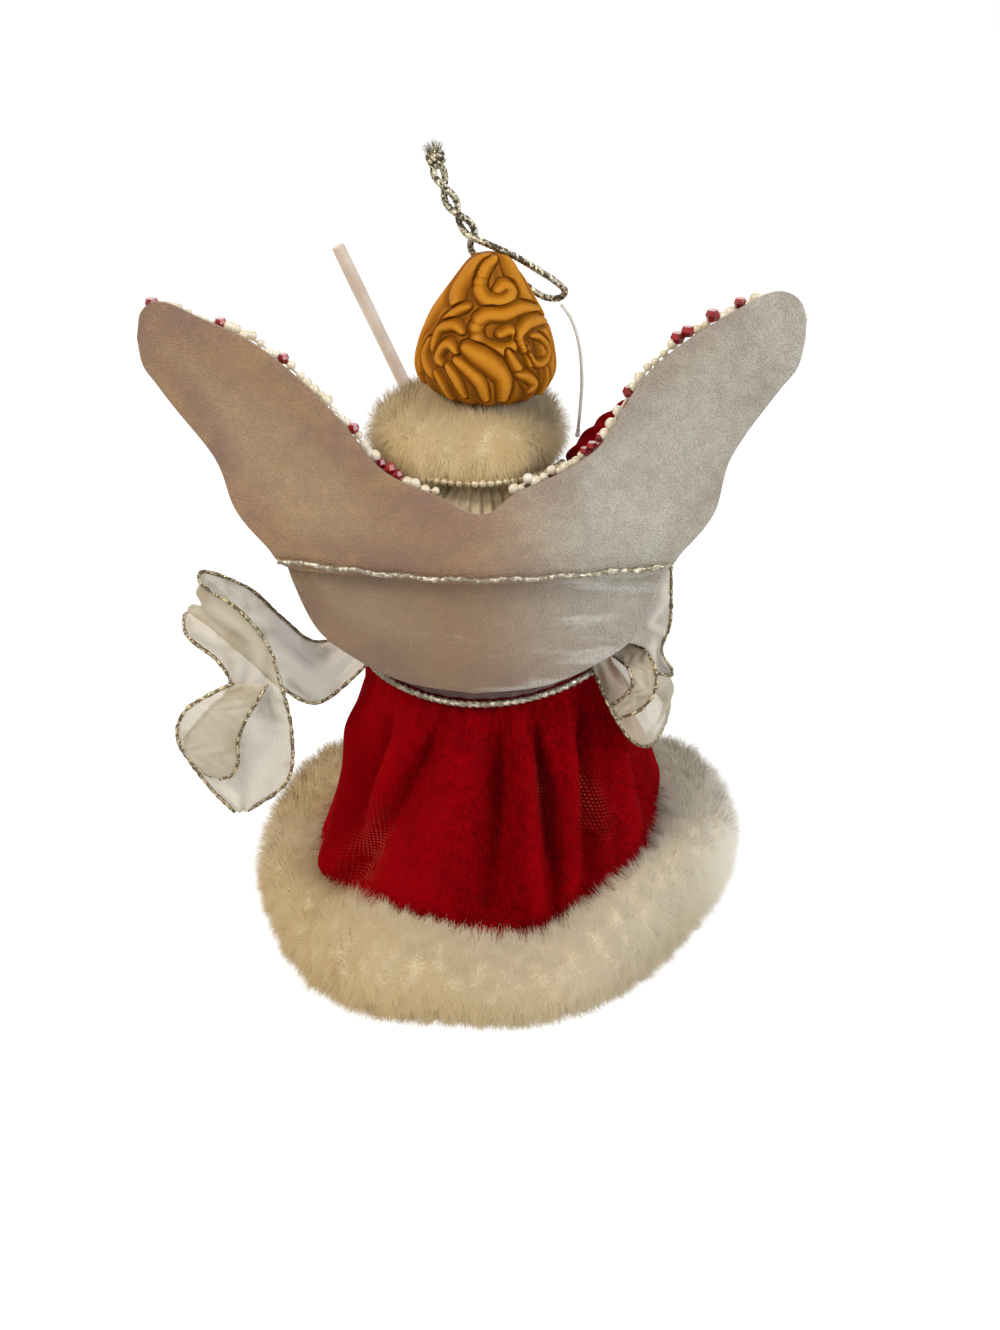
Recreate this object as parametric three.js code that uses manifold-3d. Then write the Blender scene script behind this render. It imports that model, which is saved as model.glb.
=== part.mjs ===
// Angel tree topper: a card cone dressed as an angel with felt wings, a velvet skirt and a fur hem.
// Millimetres, +Z up. The angel faces -Y, its left hand is at +X, and the origin is under the cone.

import * as THREE from 'three';
import { mergeVertices } from 'three/addons/utils/BufferGeometryUtils.js';
import Module from 'manifold-3d';

const wasm = await Module();
wasm.setup();

// Fits
const clearance = 0.3;
const plushClearance = 0.6;

// Card cone that slips over the tip of the tree
const coneHeight = 120;
const coneBaseRadius = 40;
const coneTopRadius = 5.2;
const coneWall = 1.2;
const coneSides = 36;

// Turned neck plug: a bung in the mouth of the cone with a dowel on it
const bungDepth = 5.5;
const dowelRadius = 3;
const dowelReach = 16;

// Head and moulded hair
const headTilt = 5;
const neckRadius = 5;
const neckLength = 20;
const skullRadii = new THREE.Vector3(12, 12.4, 12.2);
const skullHeight = 26.5;
const skullForward = 0.5;
const chinDrop = 2;
const jawNarrowing = 0.3;
const noseLength = 2.2;
const hairBack = 1;
const hairNape = 13.4;
const hairCrown = 45.4;
const hairWidest = 15.3;
const faceHalfWidth = 9.8;
const faceBottom = 9;
const faceTop = 36.5;
const faceDepth = 4;
const curlDepth = 0.7;

// Eye pin in the front of the crown, for the hanging cord
const eyeHeight = 40.2;
const eyeRingRadius = 2;
const eyeWire = 0.5;
const eyeShankLength = 4;
const eyeStandoff = 1.4;

// Velvet skirt over the cone, hung from the waist
const waistDrop = 43;
const skirtTop = coneHeight - waistDrop;
const skirtHem = 2;
const skirtEase = 3.4;
const skirtFlare = 7.6;
const waistGather = 5.5;
const gatherSpread = 22;
const hemOval = 0.022;
const hemOvalTurn = 14;
const velvetThickness = 1;

// Drapes of the skirt: angle at the waist, angle at the hem and half width in degrees, and how far each
// stands out (a ridge) or in (a valley)
const drapes = [
  [3, 12, 7, -2.4], [16, 31, 8, 3.6], [38, 41, 6, -2.6], [56, 40, 6, 2.8], [74, 47, 7, -3.2],
  [89, 72, 14, 4.2], [102, 96, 5.5, -3.4], [113, 110, 5, 4.4], [123, 116, 4, -3.2], [137, 122, 5, 3.8],
  [150, 131, 5, -3.2], [165, 150, 8, 4], [180, 172, 6, -2.8], [196, 195, 9, 3.6], [212, 214, 6, -3],
  [228, 230, 9, 3.8], [246, 248, 6, -3.2], [263, 262, 10, 3.8], [281, 279, 6, -3.2], [297, 298, 9, 3.8],
  [314, 315, 6, -3], [332, 334, 9, 3.4], [348, 352, 6, -2.6],
];

// Plush hem band
const hemBulge = 13.4;
const hemHeight = 21;
const hemRise = 4;
const hemDip = 5.4;
const hemDipTurn = 100;
const hemDipWidth = 27;

// Sash round the waist, lowest at the back and in front and higher at the sides
const sashDrop = 9;
const sashBottom = skirtTop - sashDrop;
const sashWidth = 6.5;
const sashRise = 2.9;
const sashThickness = 0.7;
const sashCordRadius = 0.7;

// Padded bodice
const bodiceWaistWidth = 23;
const bodiceChestWidth = 21;
const shoulderHalfWidth = 20;
const bodicePadding = 5.6;
const shoulderDrop = 8;
const bodiceTopGap = 4.4;

// Fur collar with a string of beads under it
const collarTube = 7.4;
const collarLift = 4.6;
const collarEase = 1.1;
const collarBeadRadius = 0.85;
const collarBeadThread = 0.35;
const collarBeadCount = 22;
const collarBeadHalfAngle = 72;
const collarBeadAngle = 40;

// Pleated sheer yoke between the collar and the notch of the wings
const yokeReach = 12.5;
const yokeFall = 6.5;
const yokeHalfAngle = 52;
const yokePleats = 13;
const yokePleatDepth = 0.7;
const yokeThickness = 0.5;

// Felt wings
const wingSpan = 141;
const notchDrop = 5.5;
const notchHeight = coneHeight - notchDrop;
const wingRise = 44;
const wingTopHeight = notchHeight + wingRise;
const seamDrop = 14;
const seamHeight = notchHeight - seamDrop;
const seamBow = 1.5;
const seamHalfWidth = 42.6;
const lowerPanelDrop = 29.6;
const wingBottomHeight = seamHeight - lowerPanelDrop;
const feltThickness = 1.6;
const facingThickness = 0.7;
const facingEdge = 0.8;
const seamOverlap = 5;
const edgeSag = 6.3;
const edgeSagFrom = 28;
const edgeSagWidth = 6.6;
const wingCurveDepth = 7;
const wingCurveWidth = 35;
const seamCordRadius = 0.8;
const wingPadHalfWidth = 8;
const wingPadHeight = 18;

// Pearls and red beads along the front of the upper wing edges
const pearlRadius = 1.45;
const pearlThread = 0.4;
const pearlRise = 0.5;
const pearlCount = 13;
const pearlFirst = 9.6;
const pearlLast = 1.4;

// Arms: wire in stuffed sleeves, with plush cuffs
const wireRadius = 0.8;
const sleeveRadius = 7.6;
const sleeveWristRadius = 4.6;
const sleeveCapRadius = 5;
const sleeveCapLength = 3;
const armSteps = 14;
const cuffRing = 5.2;
const cuffTube = 2.7;
const wristRadius = 2.2;
const palmRadii = new THREE.Vector3(3.3, 1.8, 3.7);
const palmReach = 9.6;
const fingerRadius = 0.85;
const fingerLength = 5.4;

// Candle in the left hand
const candleRadius = 1.6;
const candleBelowHand = 9;
const candleAboveHand = 69;
const candleLean = 22.8;

// Wired organza ribbons, given by the places of their two edges
const ribbonThickness = 0.5;

// Hanging cord and nylon thread
const cordRadius = 0.75;
const threadRadius = 0.4;
const knotRadius = 2.3;
const threadBarLength = 3.2;
const threadBarRadius = 0.55;
const twistRadius = 1.1;
const twistTurns = 1.25;

const vec = (x, y, z) => new THREE.Vector3(x, y, z);
const radians = THREE.MathUtils.degToRad;
const lerp = THREE.MathUtils.lerp;
const ease = (low, high, value) => THREE.MathUtils.smoothstep(value, low, high);
const bell = (value, width) => Math.exp(-((value / width) ** 2));
const range = (count) => Array.from({ length: count }, (_, index) => index);

// Helpers that make closed surfaces

function geometryFrom(vertices, faces) {
  const volume = faces.reduce(
    (sum, [a, b, c]) => sum + vertices[a].dot(vertices[b].clone().cross(vertices[c])), 0);
  const outward = volume < 0 ? faces.map(([a, b, c]) => [a, c, b]) : faces;
  const geometry = new THREE.BufferGeometry();
  const positions = vertices.flatMap((point) => point.toArray());
  geometry.setAttribute('position', new THREE.Float32BufferAttribute(positions, 3));
  geometry.setIndex(outward.flat());
  return geometry;
}

// Joins closed rings of equal size: end to end ('loop'), with fans ('fan') or strips ('strip') as caps.
function loft(rings, ends) {
  const size = rings[0].length;
  const vertices = rings.flat();
  const faces = [];
  const spans = ends === 'loop' ? rings.length : rings.length - 1;
  for (let i = 0; i < spans; i += 1) {
    const here = i * size;
    const next = ((i + 1) % rings.length) * size;
    for (let j = 0; j < size; j += 1) {
      const k = (j + 1) % size;
      faces.push([here + j, next + j, next + k], [here + j, next + k, here + k]);
    }
  }
  const lastRing = (rings.length - 1) * size;
  if (ends === 'fan') {
    for (const [start, flip] of [[0, false], [lastRing, true]]) {
      const hub = vertices.length;
      const middle = range(size).reduce((sum, j) => sum.add(vertices[start + j]), vec(0, 0, 0));
      vertices.push(middle.divideScalar(size));
      for (let j = 0; j < size; j += 1) {
        const k = (j + 1) % size;
        faces.push(flip ? [hub, start + k, start + j] : [hub, start + j, start + k]);
      }
    }
  }
  if (ends === 'strip') {
    for (const [start, flip] of [[0, false], [lastRing, true]]) {
      for (let j = 0; j < size / 2 - 1; j += 1) {
        const [a, b, c, d] = [start + j, start + j + 1, start + size - 2 - j, start + size - 1 - j];
        faces.push(flip ? [a, c, b] : [a, b, c], flip ? [a, d, c] : [a, c, d]);
      }
    }
  }
  return geometryFrom(vertices, faces);
}

// A ring-shaped solid: section(angle) gives the points of its closed cross-section at that angle.
function ringSolid(section, steps) {
  return loft(range(steps).map((i) => section((i / steps) * 2 * Math.PI)), 'loop');
}

// A sheet with a thickness: place(u, v, side) is a point, with side 0 in front and 1 behind.
function sheetSolid(place, across, along) {
  const rings = range(across + 1).map((i) => {
    const rows = range(along + 1).map((j) => j / along);
    const front = rows.map((v) => place(i / across, v, 0));
    const back = rows.map((v) => place(i / across, v, 1)).reverse();
    return [...front, ...back];
  });
  return loft(rings, 'strip');
}

function circleShape(radius, sides) {
  const corners = range(sides).map((i) => (i / sides) * 2 * Math.PI);
  return new THREE.Shape(corners.map((a) => new THREE.Vector2(radius * Math.cos(a), radius * Math.sin(a))));
}

const smoothCurve = (points) => new THREE.CatmullRomCurve3(points, false, 'centripetal');

function tube(points, radius, sides, steps) {
  const extrudePath = smoothCurve(points);
  return new THREE.ExtrudeGeometry(circleShape(radius, sides), { steps, extrudePath });
}

// A thread that swells into beads: place(t) is its path, and swells are the places of rings on one bead,
// in bead radii from its middle.
function beadString(place, count, radius, thread, swells, sides) {
  const beadShare = 0.8 / count;
  const stops = [{ t: 0, thick: thread }];
  for (let i = 0; i < count; i += 1) {
    const middle = (i + 0.5) / count;
    stops.push({ t: middle - 0.5 * beadShare, thick: thread });
    swells.forEach((swell) => stops.push({
      t: middle + 0.5 * swell * beadShare,
      thick: Math.max(thread, radius * Math.sqrt(1 - (0.85 * swell) ** 2)),
    }));
    stops.push({ t: middle + 0.5 * beadShare, thick: thread });
  }
  stops.push({ t: 1, thick: thread });
  const step = 0.002;
  return loft(stops.map(({ t, thick }) => {
    const along = place(Math.min(1, t + step)).sub(place(Math.max(0, t - step))).normalize();
    const out = along.clone().cross(vec(0, 0, 1)).normalize();
    const up = out.clone().cross(along);
    return range(sides).map((j) => (j / sides) * 2 * Math.PI).map((turn) => place(t)
      .addScaledVector(out, thick * Math.cos(turn))
      .addScaledVector(up, thick * Math.sin(turn)));
  }), 'fan');
}

function revolve(profile, sides) {
  const points = profile.map(([radius, height]) => new THREE.Vector2(radius, height));
  return new THREE.LatheGeometry(points, sides).rotateX(Math.PI / 2);
}

function cylinderBetween(start, end, radius, sides) {
  const length = start.distanceTo(end);
  const geometry = new THREE.CylinderGeometry(radius, radius, length, sides);
  const turn = new THREE.Quaternion().setFromUnitVectors(vec(0, 1, 0), end.clone().sub(start).normalize());
  return geometry.applyQuaternion(turn).translate(...start.clone().add(end).multiplyScalar(0.5).toArray());
}

// Boolean joins and cuts

function solidOf(geometry) {
  const bare = geometry.clone();
  bare.deleteAttribute('normal');
  bare.deleteAttribute('uv');
  const merged = mergeVertices(bare, 1e-4);
  return new wasm.Manifold(new wasm.Mesh({
    numProp: 3,
    vertProperties: Float32Array.from(merged.getAttribute('position').array),
    triVerts: Uint32Array.from(merged.getIndex().array),
  }));
}

function geometryOf(solid) {
  const mesh = solid.getMesh();
  const geometry = new THREE.BufferGeometry();
  geometry.setAttribute('position', new THREE.BufferAttribute(Float32Array.from(mesh.vertProperties), 3));
  geometry.setIndex(new THREE.BufferAttribute(Uint32Array.from(mesh.triVerts), 1));
  return geometry;
}

const joined = (...pieces) => geometryOf(pieces.map(solidOf).reduce((sum, piece) => sum.add(piece)));

function cut(body, ...tools) {
  return geometryOf(tools.map(solidOf).reduce((left, tool) => left.subtract(tool), solidOf(body)));
}

// The assembly

const angel = new THREE.Group();

function add(name, geometry, color, roughness, metalness = 0, parent = angel) {
  const material = new THREE.MeshStandardMaterial({ color, roughness, metalness });
  const mesh = new THREE.Mesh(geometry, material);
  mesh.name = name;
  parent.add(mesh);
  return mesh;
}

// Card cone

const coneOuter = (z) => lerp(coneBaseRadius, coneTopRadius, z / coneHeight);
const coneInner = (z) => coneOuter(z) - coneWall;
const shoulderHeight = coneHeight - shoulderDrop;
const wireHole = cylinderBetween(
  vec(-coneBaseRadius, 0, shoulderHeight), vec(coneBaseRadius, 0, shoulderHeight),
  wireRadius + clearance, 12);

function coneGeometry() {
  const wall = revolve([
    [coneOuter(0), 0],
    [coneOuter(coneHeight), coneHeight],
    [coneInner(coneHeight), coneHeight],
    [coneInner(0), 0],
    [coneOuter(0), 0],
  ], coneSides);
  return cut(wall, wireHole);
}

// Neck plug

function neckPlugGeometry() {
  const bungBottom = coneHeight - bungDepth;
  return revolve([
    [0, bungBottom],
    [coneInner(bungBottom) - clearance, bungBottom],
    [coneInner(coneHeight) - clearance, coneHeight],
    [dowelRadius, coneHeight],
    [dowelRadius, coneHeight + dowelReach],
    [0, coneHeight + dowelReach],
  ], coneSides);
}

// Head, in a frame that starts on the mouth of the cone and leans with the head

const headFrame = new THREE.Group();
headFrame.position.z = coneHeight;
headFrame.rotation.y = -radians(headTilt);
angel.add(headFrame);

// A sphere drawn down to a narrow chin in front, with a nose, eye hollows and lips. grow widens it all round.
function skullGeometry(grow, columns, rows) {
  const geometry = new THREE.SphereGeometry(1, columns, rows).rotateX(Math.PI / 2);
  const places = geometry.getAttribute('position');
  const radii = skullRadii.clone().addScalar(grow);
  for (let i = 0; i < places.count; i += 1) {
    const [x, y, z] = [places.getX(i), places.getY(i), places.getZ(i)];
    const low = Math.max(0, -z);
    const front = Math.max(0, -y);
    const nose = noseLength * bell(x, 0.12) * bell(z + 0.2, 0.16) * ease(0.5, 0.9, front);
    const hollow = 0.7 * bell(Math.abs(x) - 0.34, 0.15) * bell(z - 0.02, 0.13) * ease(0.5, 0.9, front);
    const lips = 0.5 * bell(x, 0.2) * bell(z + 0.52, 0.08) * ease(0.4, 0.8, front);
    places.setXYZ(
      i,
      radii.x * x * (1 - jawNarrowing * low * low),
      radii.y * y * (1 - 0.12 * low * low) - nose - lips + hollow - skullForward,
      radii.z * z - chinDrop * low * front + skullHeight,
    );
  }
  return geometry;
}

// The neck stands clear of the cone by as much as its tilted edge dips
const neckStart = clearance + neckRadius * Math.sin(radians(headTilt));
const neckGeometry = (grow) => cylinderBetween(
  vec(0, 0, neckStart - grow), vec(0, 0, neckLength), neckRadius + grow, 16);

function headGeometry() {
  const dowelBore = cylinderBetween(
    vec(0, 0, -1), vec(0, 0, dowelReach + clearance), dowelRadius + clearance, 18);
  dowelBore.rotateY(radians(headTilt));
  return cut(joined(skullGeometry(0, 24, 18), neckGeometry(0)), dowelBore);
}

// Pear-shaped hair: the outline from nape to crown is a smooth curve, with fat locks winding round it.
const hairOutline = new THREE.SplineCurve([
  [0.62, 0], [0.9, 0.09], [1, 0.21], [0.96, 0.36], [0.83, 0.54],
  [0.65, 0.69], [0.46, 0.84], [0.34, 0.93], [0.19, 0.985], [0.04, 1],
].map(([width, rise]) => new THREE.Vector2(hairWidest * width, lerp(hairNape, hairCrown, rise))));

function hairGeometry() {
  const columns = 30;
  const rows = 13;
  const rings = range(rows + 1).map((i) => {
    const { x: radius, y: height } = hairOutline.getPointAt(i / rows);
    const relief = curlDepth * ease(0, 0.15, i / rows) * ease(0, 0.2, 1 - i / rows);
    return range(columns).map((j) => {
      const angle = (j / columns) * 2 * Math.PI;
      const lock = Math.sin(5 * angle + 9 * (i / rows)) * Math.cos(2.2 * angle - 7 * (i / rows));
      const reach = radius + relief * lock;
      return vec(reach * Math.cos(angle), hairBack + reach * Math.sin(angle), height);
    });
  });
  const body = loft(rings, 'fan');
  const faceOpening = new THREE.CylinderGeometry(1, 1, 2 * hairWidest, 28);
  faceOpening.scale(faceHalfWidth, 1, (faceTop - faceBottom) / 2);
  faceOpening.translate(0, -faceDepth - hairWidest, (faceTop + faceBottom) / 2);
  const shankBore = cylinderBetween(
    vec(0, -hairWidest, eyeHeight), vec(0, eyeShankLength + clearance - eyeSurface(), eyeHeight),
    eyeWire + clearance, 8);
  return cut(body, skullGeometry(clearance, 20, 14), neckGeometry(clearance), faceOpening, shankBore);
}

// Distance of the hair's front from the axis at the height of the eye pin
function eyeSurface() {
  const samples = range(200).map((i) => hairOutline.getPoint(i / 199));
  const nearest = samples.reduce((best, point) => (
    Math.abs(point.y - eyeHeight) < Math.abs(best.y - eyeHeight) ? point : best));
  return nearest.x - hairBack;
}

function crownEyeGeometry() {
  const surface = eyeSurface();
  const ring = new THREE.TorusGeometry(eyeRingRadius, eyeWire, 6, 12).rotateY(Math.PI / 2);
  ring.translate(0, -surface - eyeStandoff - eyeWire - eyeRingRadius, eyeHeight);
  const shank = cylinderBetween(
    vec(0, -surface - eyeStandoff - eyeWire, eyeHeight), vec(0, eyeShankLength - surface, eyeHeight),
    eyeWire, 8);
  return joined(ring, shank);
}

// Skirt: an oval that grows from the waist to the hem, with folds that start above the hem band

// Angle from a direction in degrees, between minus and plus half a turn
function turnFrom(angle, direction) {
  const turn = angle - radians(direction);
  return Math.atan2(Math.sin(turn), Math.cos(turn));
}

// The band rises to the right and dips at the back
function hemTop(angle) {
  const dip = hemDip * bell(turnFrom(angle, hemDipTurn), radians(hemDipWidth));
  return hemHeight - hemRise * Math.cos(angle) - dip;
}

function skirtRadius(z, angle) {
  const fall = THREE.MathUtils.clamp((skirtTop - z) / (skirtTop - skirtHem), 0, 1);
  const spread = 0.5 * (fall + ease(0, 1, fall));
  const depth = lerp(coneOuter(skirtTop) + skirtEase, coneBaseRadius + skirtFlare, spread);
  const width = depth + waistGather * bell(z - sashBottom, gatherSpread);
  const oval = 1 + hemOval * spread * Math.cos(2 * (angle - radians(hemOvalTurn)));
  return oval / Math.hypot(Math.cos(angle) / width, Math.sin(angle) / depth);
}

// Lowest height of the folds, and the height at which the drapes reach their angles at the hem
const foldStart = hemHeight - hemRise - hemDip;
const drapeLevel = hemHeight + hemRise + 2;

// Each drape is a bell across the angle, whose middle moves from its place at the waist to that at the hem
function skirtFold(z, angle) {
  const fall = THREE.MathUtils.clamp((sashBottom - z) / (sashBottom - drapeLevel), 0, 1.3);
  const top = hemTop(angle);
  const shown = ease(top - 1, top + 10, z) * (1 - ease(sashBottom - 20, sashBottom - 3, z));
  const stand = drapes.reduce((sum, [waist, hem, width, depth]) => {
    const off = turnFrom(angle, lerp(waist, hem, fall));
    return sum + depth * bell(off, radians(width) * lerp(0.75, 1.1, fall));
  }, 0);
  return shown * stand;
}

// The cloth lies no nearer to the cone than a clearance
function skirtOutside(z, angle) {
  const nearest = coneOuter(z) + clearance + velvetThickness;
  return Math.max(nearest, skirtRadius(z, angle) + skirtFold(z, angle));
}

const around = (radius, angle, z) => vec(radius * Math.cos(angle), radius * Math.sin(angle), z);

function skirtGeometry() {
  const inFolds = range(10).map((i) => lerp(foldStart, sashBottom, i / 9));
  const heights = [skirtHem, ...inFolds, skirtTop];
  return ringSolid((angle) => [
    ...heights.map((z) => around(skirtOutside(z, angle), angle, z)),
    ...heights.toReversed().map((z) => around(skirtOutside(z, angle) - velvetThickness, angle, z)),
  ], 90);
}

// Plush hem: flat underneath, swelling outside the lower edge of the skirt

function hemGeometry() {
  return ringSolid((angle) => {
    const top = hemTop(angle);
    const inner = (z) => skirtRadius(Math.max(z, skirtHem), angle) + plushClearance;
    const outer = skirtRadius(skirtHem, angle) + hemBulge;
    const swell = [[0.7, 0], [0.93, 0.18], [1, 0.42], [0.93, 0.7], [0.66, 0.92], [0.34, 1], [0.1, 0.96]];
    return [
      around(inner(0), angle, 0),
      ...swell.map(([out, up]) => around(lerp(inner(up * top), outer, out), angle, up * top)),
      around(inner(0.8 * top), angle, 0.8 * top),
      around(inner(0.4 * top), angle, 0.4 * top),
    ];
  }, 36);
}

// Sash and the cord on its lower edge

const sashInner = (z, angle) => skirtRadius(z, angle) + clearance;
const sashEdge = (angle) => sashBottom + sashRise * Math.cos(angle) ** 2;

function sashGeometry() {
  return ringSolid((angle) => {
    const low = sashEdge(angle);
    const high = low + sashWidth;
    return [
      around(sashInner(low, angle) + sashThickness, angle, low),
      around(sashInner(high, angle) + sashThickness, angle, high),
      around(sashInner(high, angle), angle, high),
      around(sashInner(low, angle), angle, low),
    ];
  }, 40);
}

const sashCordHeight = (angle) => sashEdge(angle) - sashCordRadius - clearance;
const sashCordMiddle = (angle) => (
  skirtRadius(sashCordHeight(angle), angle) + 2 * clearance + sashCordRadius);

function sashCordGeometry() {
  return ringSolid((angle) => {
    const z = sashCordHeight(angle);
    const middle = sashCordMiddle(angle);
    return range(5).map((i) => (i / 5) * 2 * Math.PI).map((turn) => (
      around(middle + sashCordRadius * Math.cos(turn), angle, z + sashCordRadius * Math.sin(turn))));
  }, 40);
}

// Bodice: [height, half width, half depth] of its outside, from the waist to the neck

const bodiceBottom = skirtTop + clearance;
const bodiceTop = coneHeight - bodiceTopGap;

function bodiceRows(grow) {
  const rise = (share) => lerp(bodiceBottom, bodiceTop, share);
  const row = (share, width, padding) => [
    rise(share), Math.max(width, coneOuter(rise(share)) + 2) + grow, coneOuter(rise(share)) + padding + grow];
  return [
    row(0, bodiceWaistWidth, 0.55 * bodicePadding),
    row(0.28, 0.5 * (bodiceWaistWidth + bodiceChestWidth), bodicePadding),
    row(0.58, bodiceChestWidth, 1.1 * bodicePadding),
    row(0.84, shoulderHalfWidth, bodicePadding),
    row(0.95, 0.95 * shoulderHalfWidth, 0.75 * bodicePadding),
    row(1, 0.5 * shoulderHalfWidth, 0.3 * bodicePadding),
  ];
}

const ovalPoint = ([z, width, depth], angle) => vec(width * Math.cos(angle), depth * Math.sin(angle), z);

function bodiceGeometry() {
  const rows = bodiceRows(0);
  const body = ringSolid((angle) => [
    ...rows.map((row) => ovalPoint(row, angle)),
    around(coneOuter(bodiceTop) + clearance, angle, bodiceTop),
    around(coneOuter(bodiceBottom) + clearance, angle, bodiceBottom),
  ], coneSides);
  return cut(body, wireHole);
}

function shoulderWireGeometry() {
  const reach = shoulderHalfWidth;
  return cylinderBetween(vec(-reach, 0, shoulderHeight), vec(reach, 0, shoulderHeight), wireRadius, 12);
}

// Collar, its bead string and the yoke

const collarRing = neckRadius + collarEase + collarTube;
const collarHeight = coneHeight + collarLift;

function collarGeometry() {
  return new THREE.TorusGeometry(collarRing, collarTube, 10, 26).translate(0, 0, collarHeight);
}

function collarBeadsGeometry() {
  const reach = collarTube + collarBeadRadius + clearance;
  const radius = collarRing + reach * Math.cos(radians(collarBeadAngle));
  const height = collarHeight - reach * Math.sin(radians(collarBeadAngle));
  const place = (t) => {
    const angle = Math.PI / 2 + radians(lerp(-collarBeadHalfAngle, collarBeadHalfAngle, t));
    return around(radius, angle, height);
  };
  return beadString(place, collarBeadCount, collarBeadRadius, collarBeadThread, [-0.6, 0.6], 5);
}

function yokeGeometry() {
  const [, , backDepth] = bodiceRows(0)[5];
  const start = backDepth + clearance;
  const top = bodiceTop + clearance + yokePleatDepth;
  const place = (u, v, side) => {
    const angle = Math.PI / 2 + radians(lerp(-yokeHalfAngle, yokeHalfAngle, u));
    const pleat = yokePleatDepth * v * Math.cos(2 * Math.PI * yokePleats * u);
    return around(start + yokeReach * v, angle, top - yokeFall * v * v + pleat + side * yokeThickness);
  };
  return sheetSolid(place, 4 * yokePleats, 2);
}

// Wings

// Front of the felt, in depth: in the middle it lies against the sash, or against the sash's cord where the
// wings reach down to it, and it curves forward to the sides
const back = Math.PI / 2;
const wingsReachCord = wingBottomHeight - facingEdge < sashBottom + clearance;
const wingSeat = wingsReachCord
  ? sashCordMiddle(back) + sashCordRadius
  : sashInner(sashBottom, back) + sashThickness;
const wingMiddle = wingSeat + clearance + facingThickness;
const wingDepth = (x) => wingMiddle - wingCurveDepth * (1 - bell(x, wingCurveWidth));
const halfSpan = wingSpan / 2;
const curveOf = (points) => new THREE.SplineCurve(points.map(([x, z]) => new THREE.Vector2(x, z)));

const wingTip = [halfSpan, wingTopHeight - 5];
const upperEdge = curveOf([
  [0, notchHeight],
  [8, notchHeight + 4],
  [18.5, notchHeight + 9],
  [27.5, notchHeight + 20],
  [38.3, wingTopHeight - 14],
  [55.5, wingTopHeight - 3.6],
  [halfSpan - 4, wingTopHeight],
  wingTip,
]);
const lowerLobeEdge = [
  [seamHalfWidth + 3.4, seamHeight + 4],
  [0.75 * halfSpan, seamHeight + 13],
  [0.795 * halfSpan, seamHeight + 25],
  [0.93 * halfSpan, seamHeight + 40],
  [halfSpan, wingTopHeight - 9],
];
const feltHem = seamHeight - 1.6;
const seamAt = (x) => seamHeight + seamBow * (x / seamHalfWidth) ** 2;
const upperPanelHem = curveOf([
  [0, feltHem],
  [0.5 * seamHalfWidth, feltHem + 0.25 * seamBow],
  [seamHalfWidth, feltHem + seamBow],
  ...lowerLobeEdge,
]);
const lowerPanelBottom = [
  [0, wingBottomHeight],
  [0.4 * seamHalfWidth, wingBottomHeight + 2],
  [0.66 * seamHalfWidth, wingBottomHeight + 6.8],
  [0.82 * seamHalfWidth, wingBottomHeight + 12.8],
  [0.935 * seamHalfWidth, seamHeight - 5.2],
  [seamHalfWidth, seamHeight + 0.5 * seamBow],
];
const lowerPanelHem = curveOf(lowerPanelBottom);
const lowerPanelHead = curveOf([
  [0, seamHeight + seamOverlap],
  [0.5 * seamHalfWidth, seamHeight + seamOverlap],
  [0.92 * seamHalfWidth, seamHeight + seamOverlap],
  [seamHalfWidth, seamHeight + 0.5 * seamBow + 1],
]);
const facingHem = curveOf([...lowerPanelBottom, ...lowerLobeEdge]);

// How far the upper edge of the right wing hangs below its mirror image
const sag = (x) => edgeSag * bell(x + edgeSagFrom, edgeSagWidth);
const noSag = () => 0;

// A mirrored panel between two half outlines: depth(x, z) is its front, thick its thickness, drop lowers it,
// and headSag(x) lowers its upper edge.
function wingPanel(hem, head, depth, thick, across, along, drop = 0, headSag = noSag) {
  const place = (u, v, side) => {
    const half = 2 * u - 1;
    const low = hem.getPointAt(Math.abs(half));
    const high = head.getPointAt(Math.abs(half));
    const x = lerp(low.x, high.x, v) * Math.sign(half);
    const z = lerp(low.y, high.y, v) - drop - v * headSag(x);
    return vec(x, depth(x, z) + side * thick, z);
  };
  return sheetSolid(place, across, along);
}

const facingDepth = (x) => wingDepth(x) - facingThickness;
const lowerPanelDepth = (x) => wingDepth(x) + clearance;
const upperPanelDepth = (x, z) => lowerPanelDepth(x) + (feltThickness + clearance) * (
  1 - ease(seamHeight + seamOverlap + 2, seamHeight + seamOverlap + 16, z));

function seamCordGeometry() {
  const behind = (x) => upperPanelDepth(x, seamHeight) + feltThickness + clearance + seamCordRadius;
  const stops = range(13).map((i) => lerp(-seamHalfWidth - 1, seamHalfWidth + 1, i / 12));
  return tube(stops.map((x) => vec(x, behind(x), seamAt(x))), seamCordRadius, 6, 24);
}

function wingBeadsGeometry(side) {
  const inFront = facingThickness + clearance + pearlRadius;
  const place = (t) => {
    const { x, y: z } = upperEdge.getPointAt(t);
    return vec(side * x, wingDepth(x) - inFront, z + pearlRise - sag(side * x));
  };
  const edgeLength = upperEdge.getLength();
  const along = (t) => place(lerp(pearlFirst, edgeLength - pearlLast, t) / edgeLength);
  return beadString(along, pearlCount, pearlRadius, pearlThread, [-0.75, 0, 0.75], 6);
}

// Felt pad that carries the wings on the back of the bodice
function wingPadGeometry() {
  const depth = wingDepth(wingPadHalfWidth) - facingThickness - clearance;
  const middle = seamHeight - 0.9 * seamOverlap;
  const block = new THREE.BoxGeometry(2 * wingPadHalfWidth, depth, wingPadHeight);
  block.translate(0, depth / 2, middle);
  const keepOut = loft(bodiceRows(clearance).map((row) => (
    range(coneSides).map((i) => ovalPoint(row, (i / coneSides) * 2 * Math.PI)))), 'fan');
  return cut(block, keepOut);
}

// Arms: the sleeve swells from the shoulder and narrows to the wrist, round a bore for the wire

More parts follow.
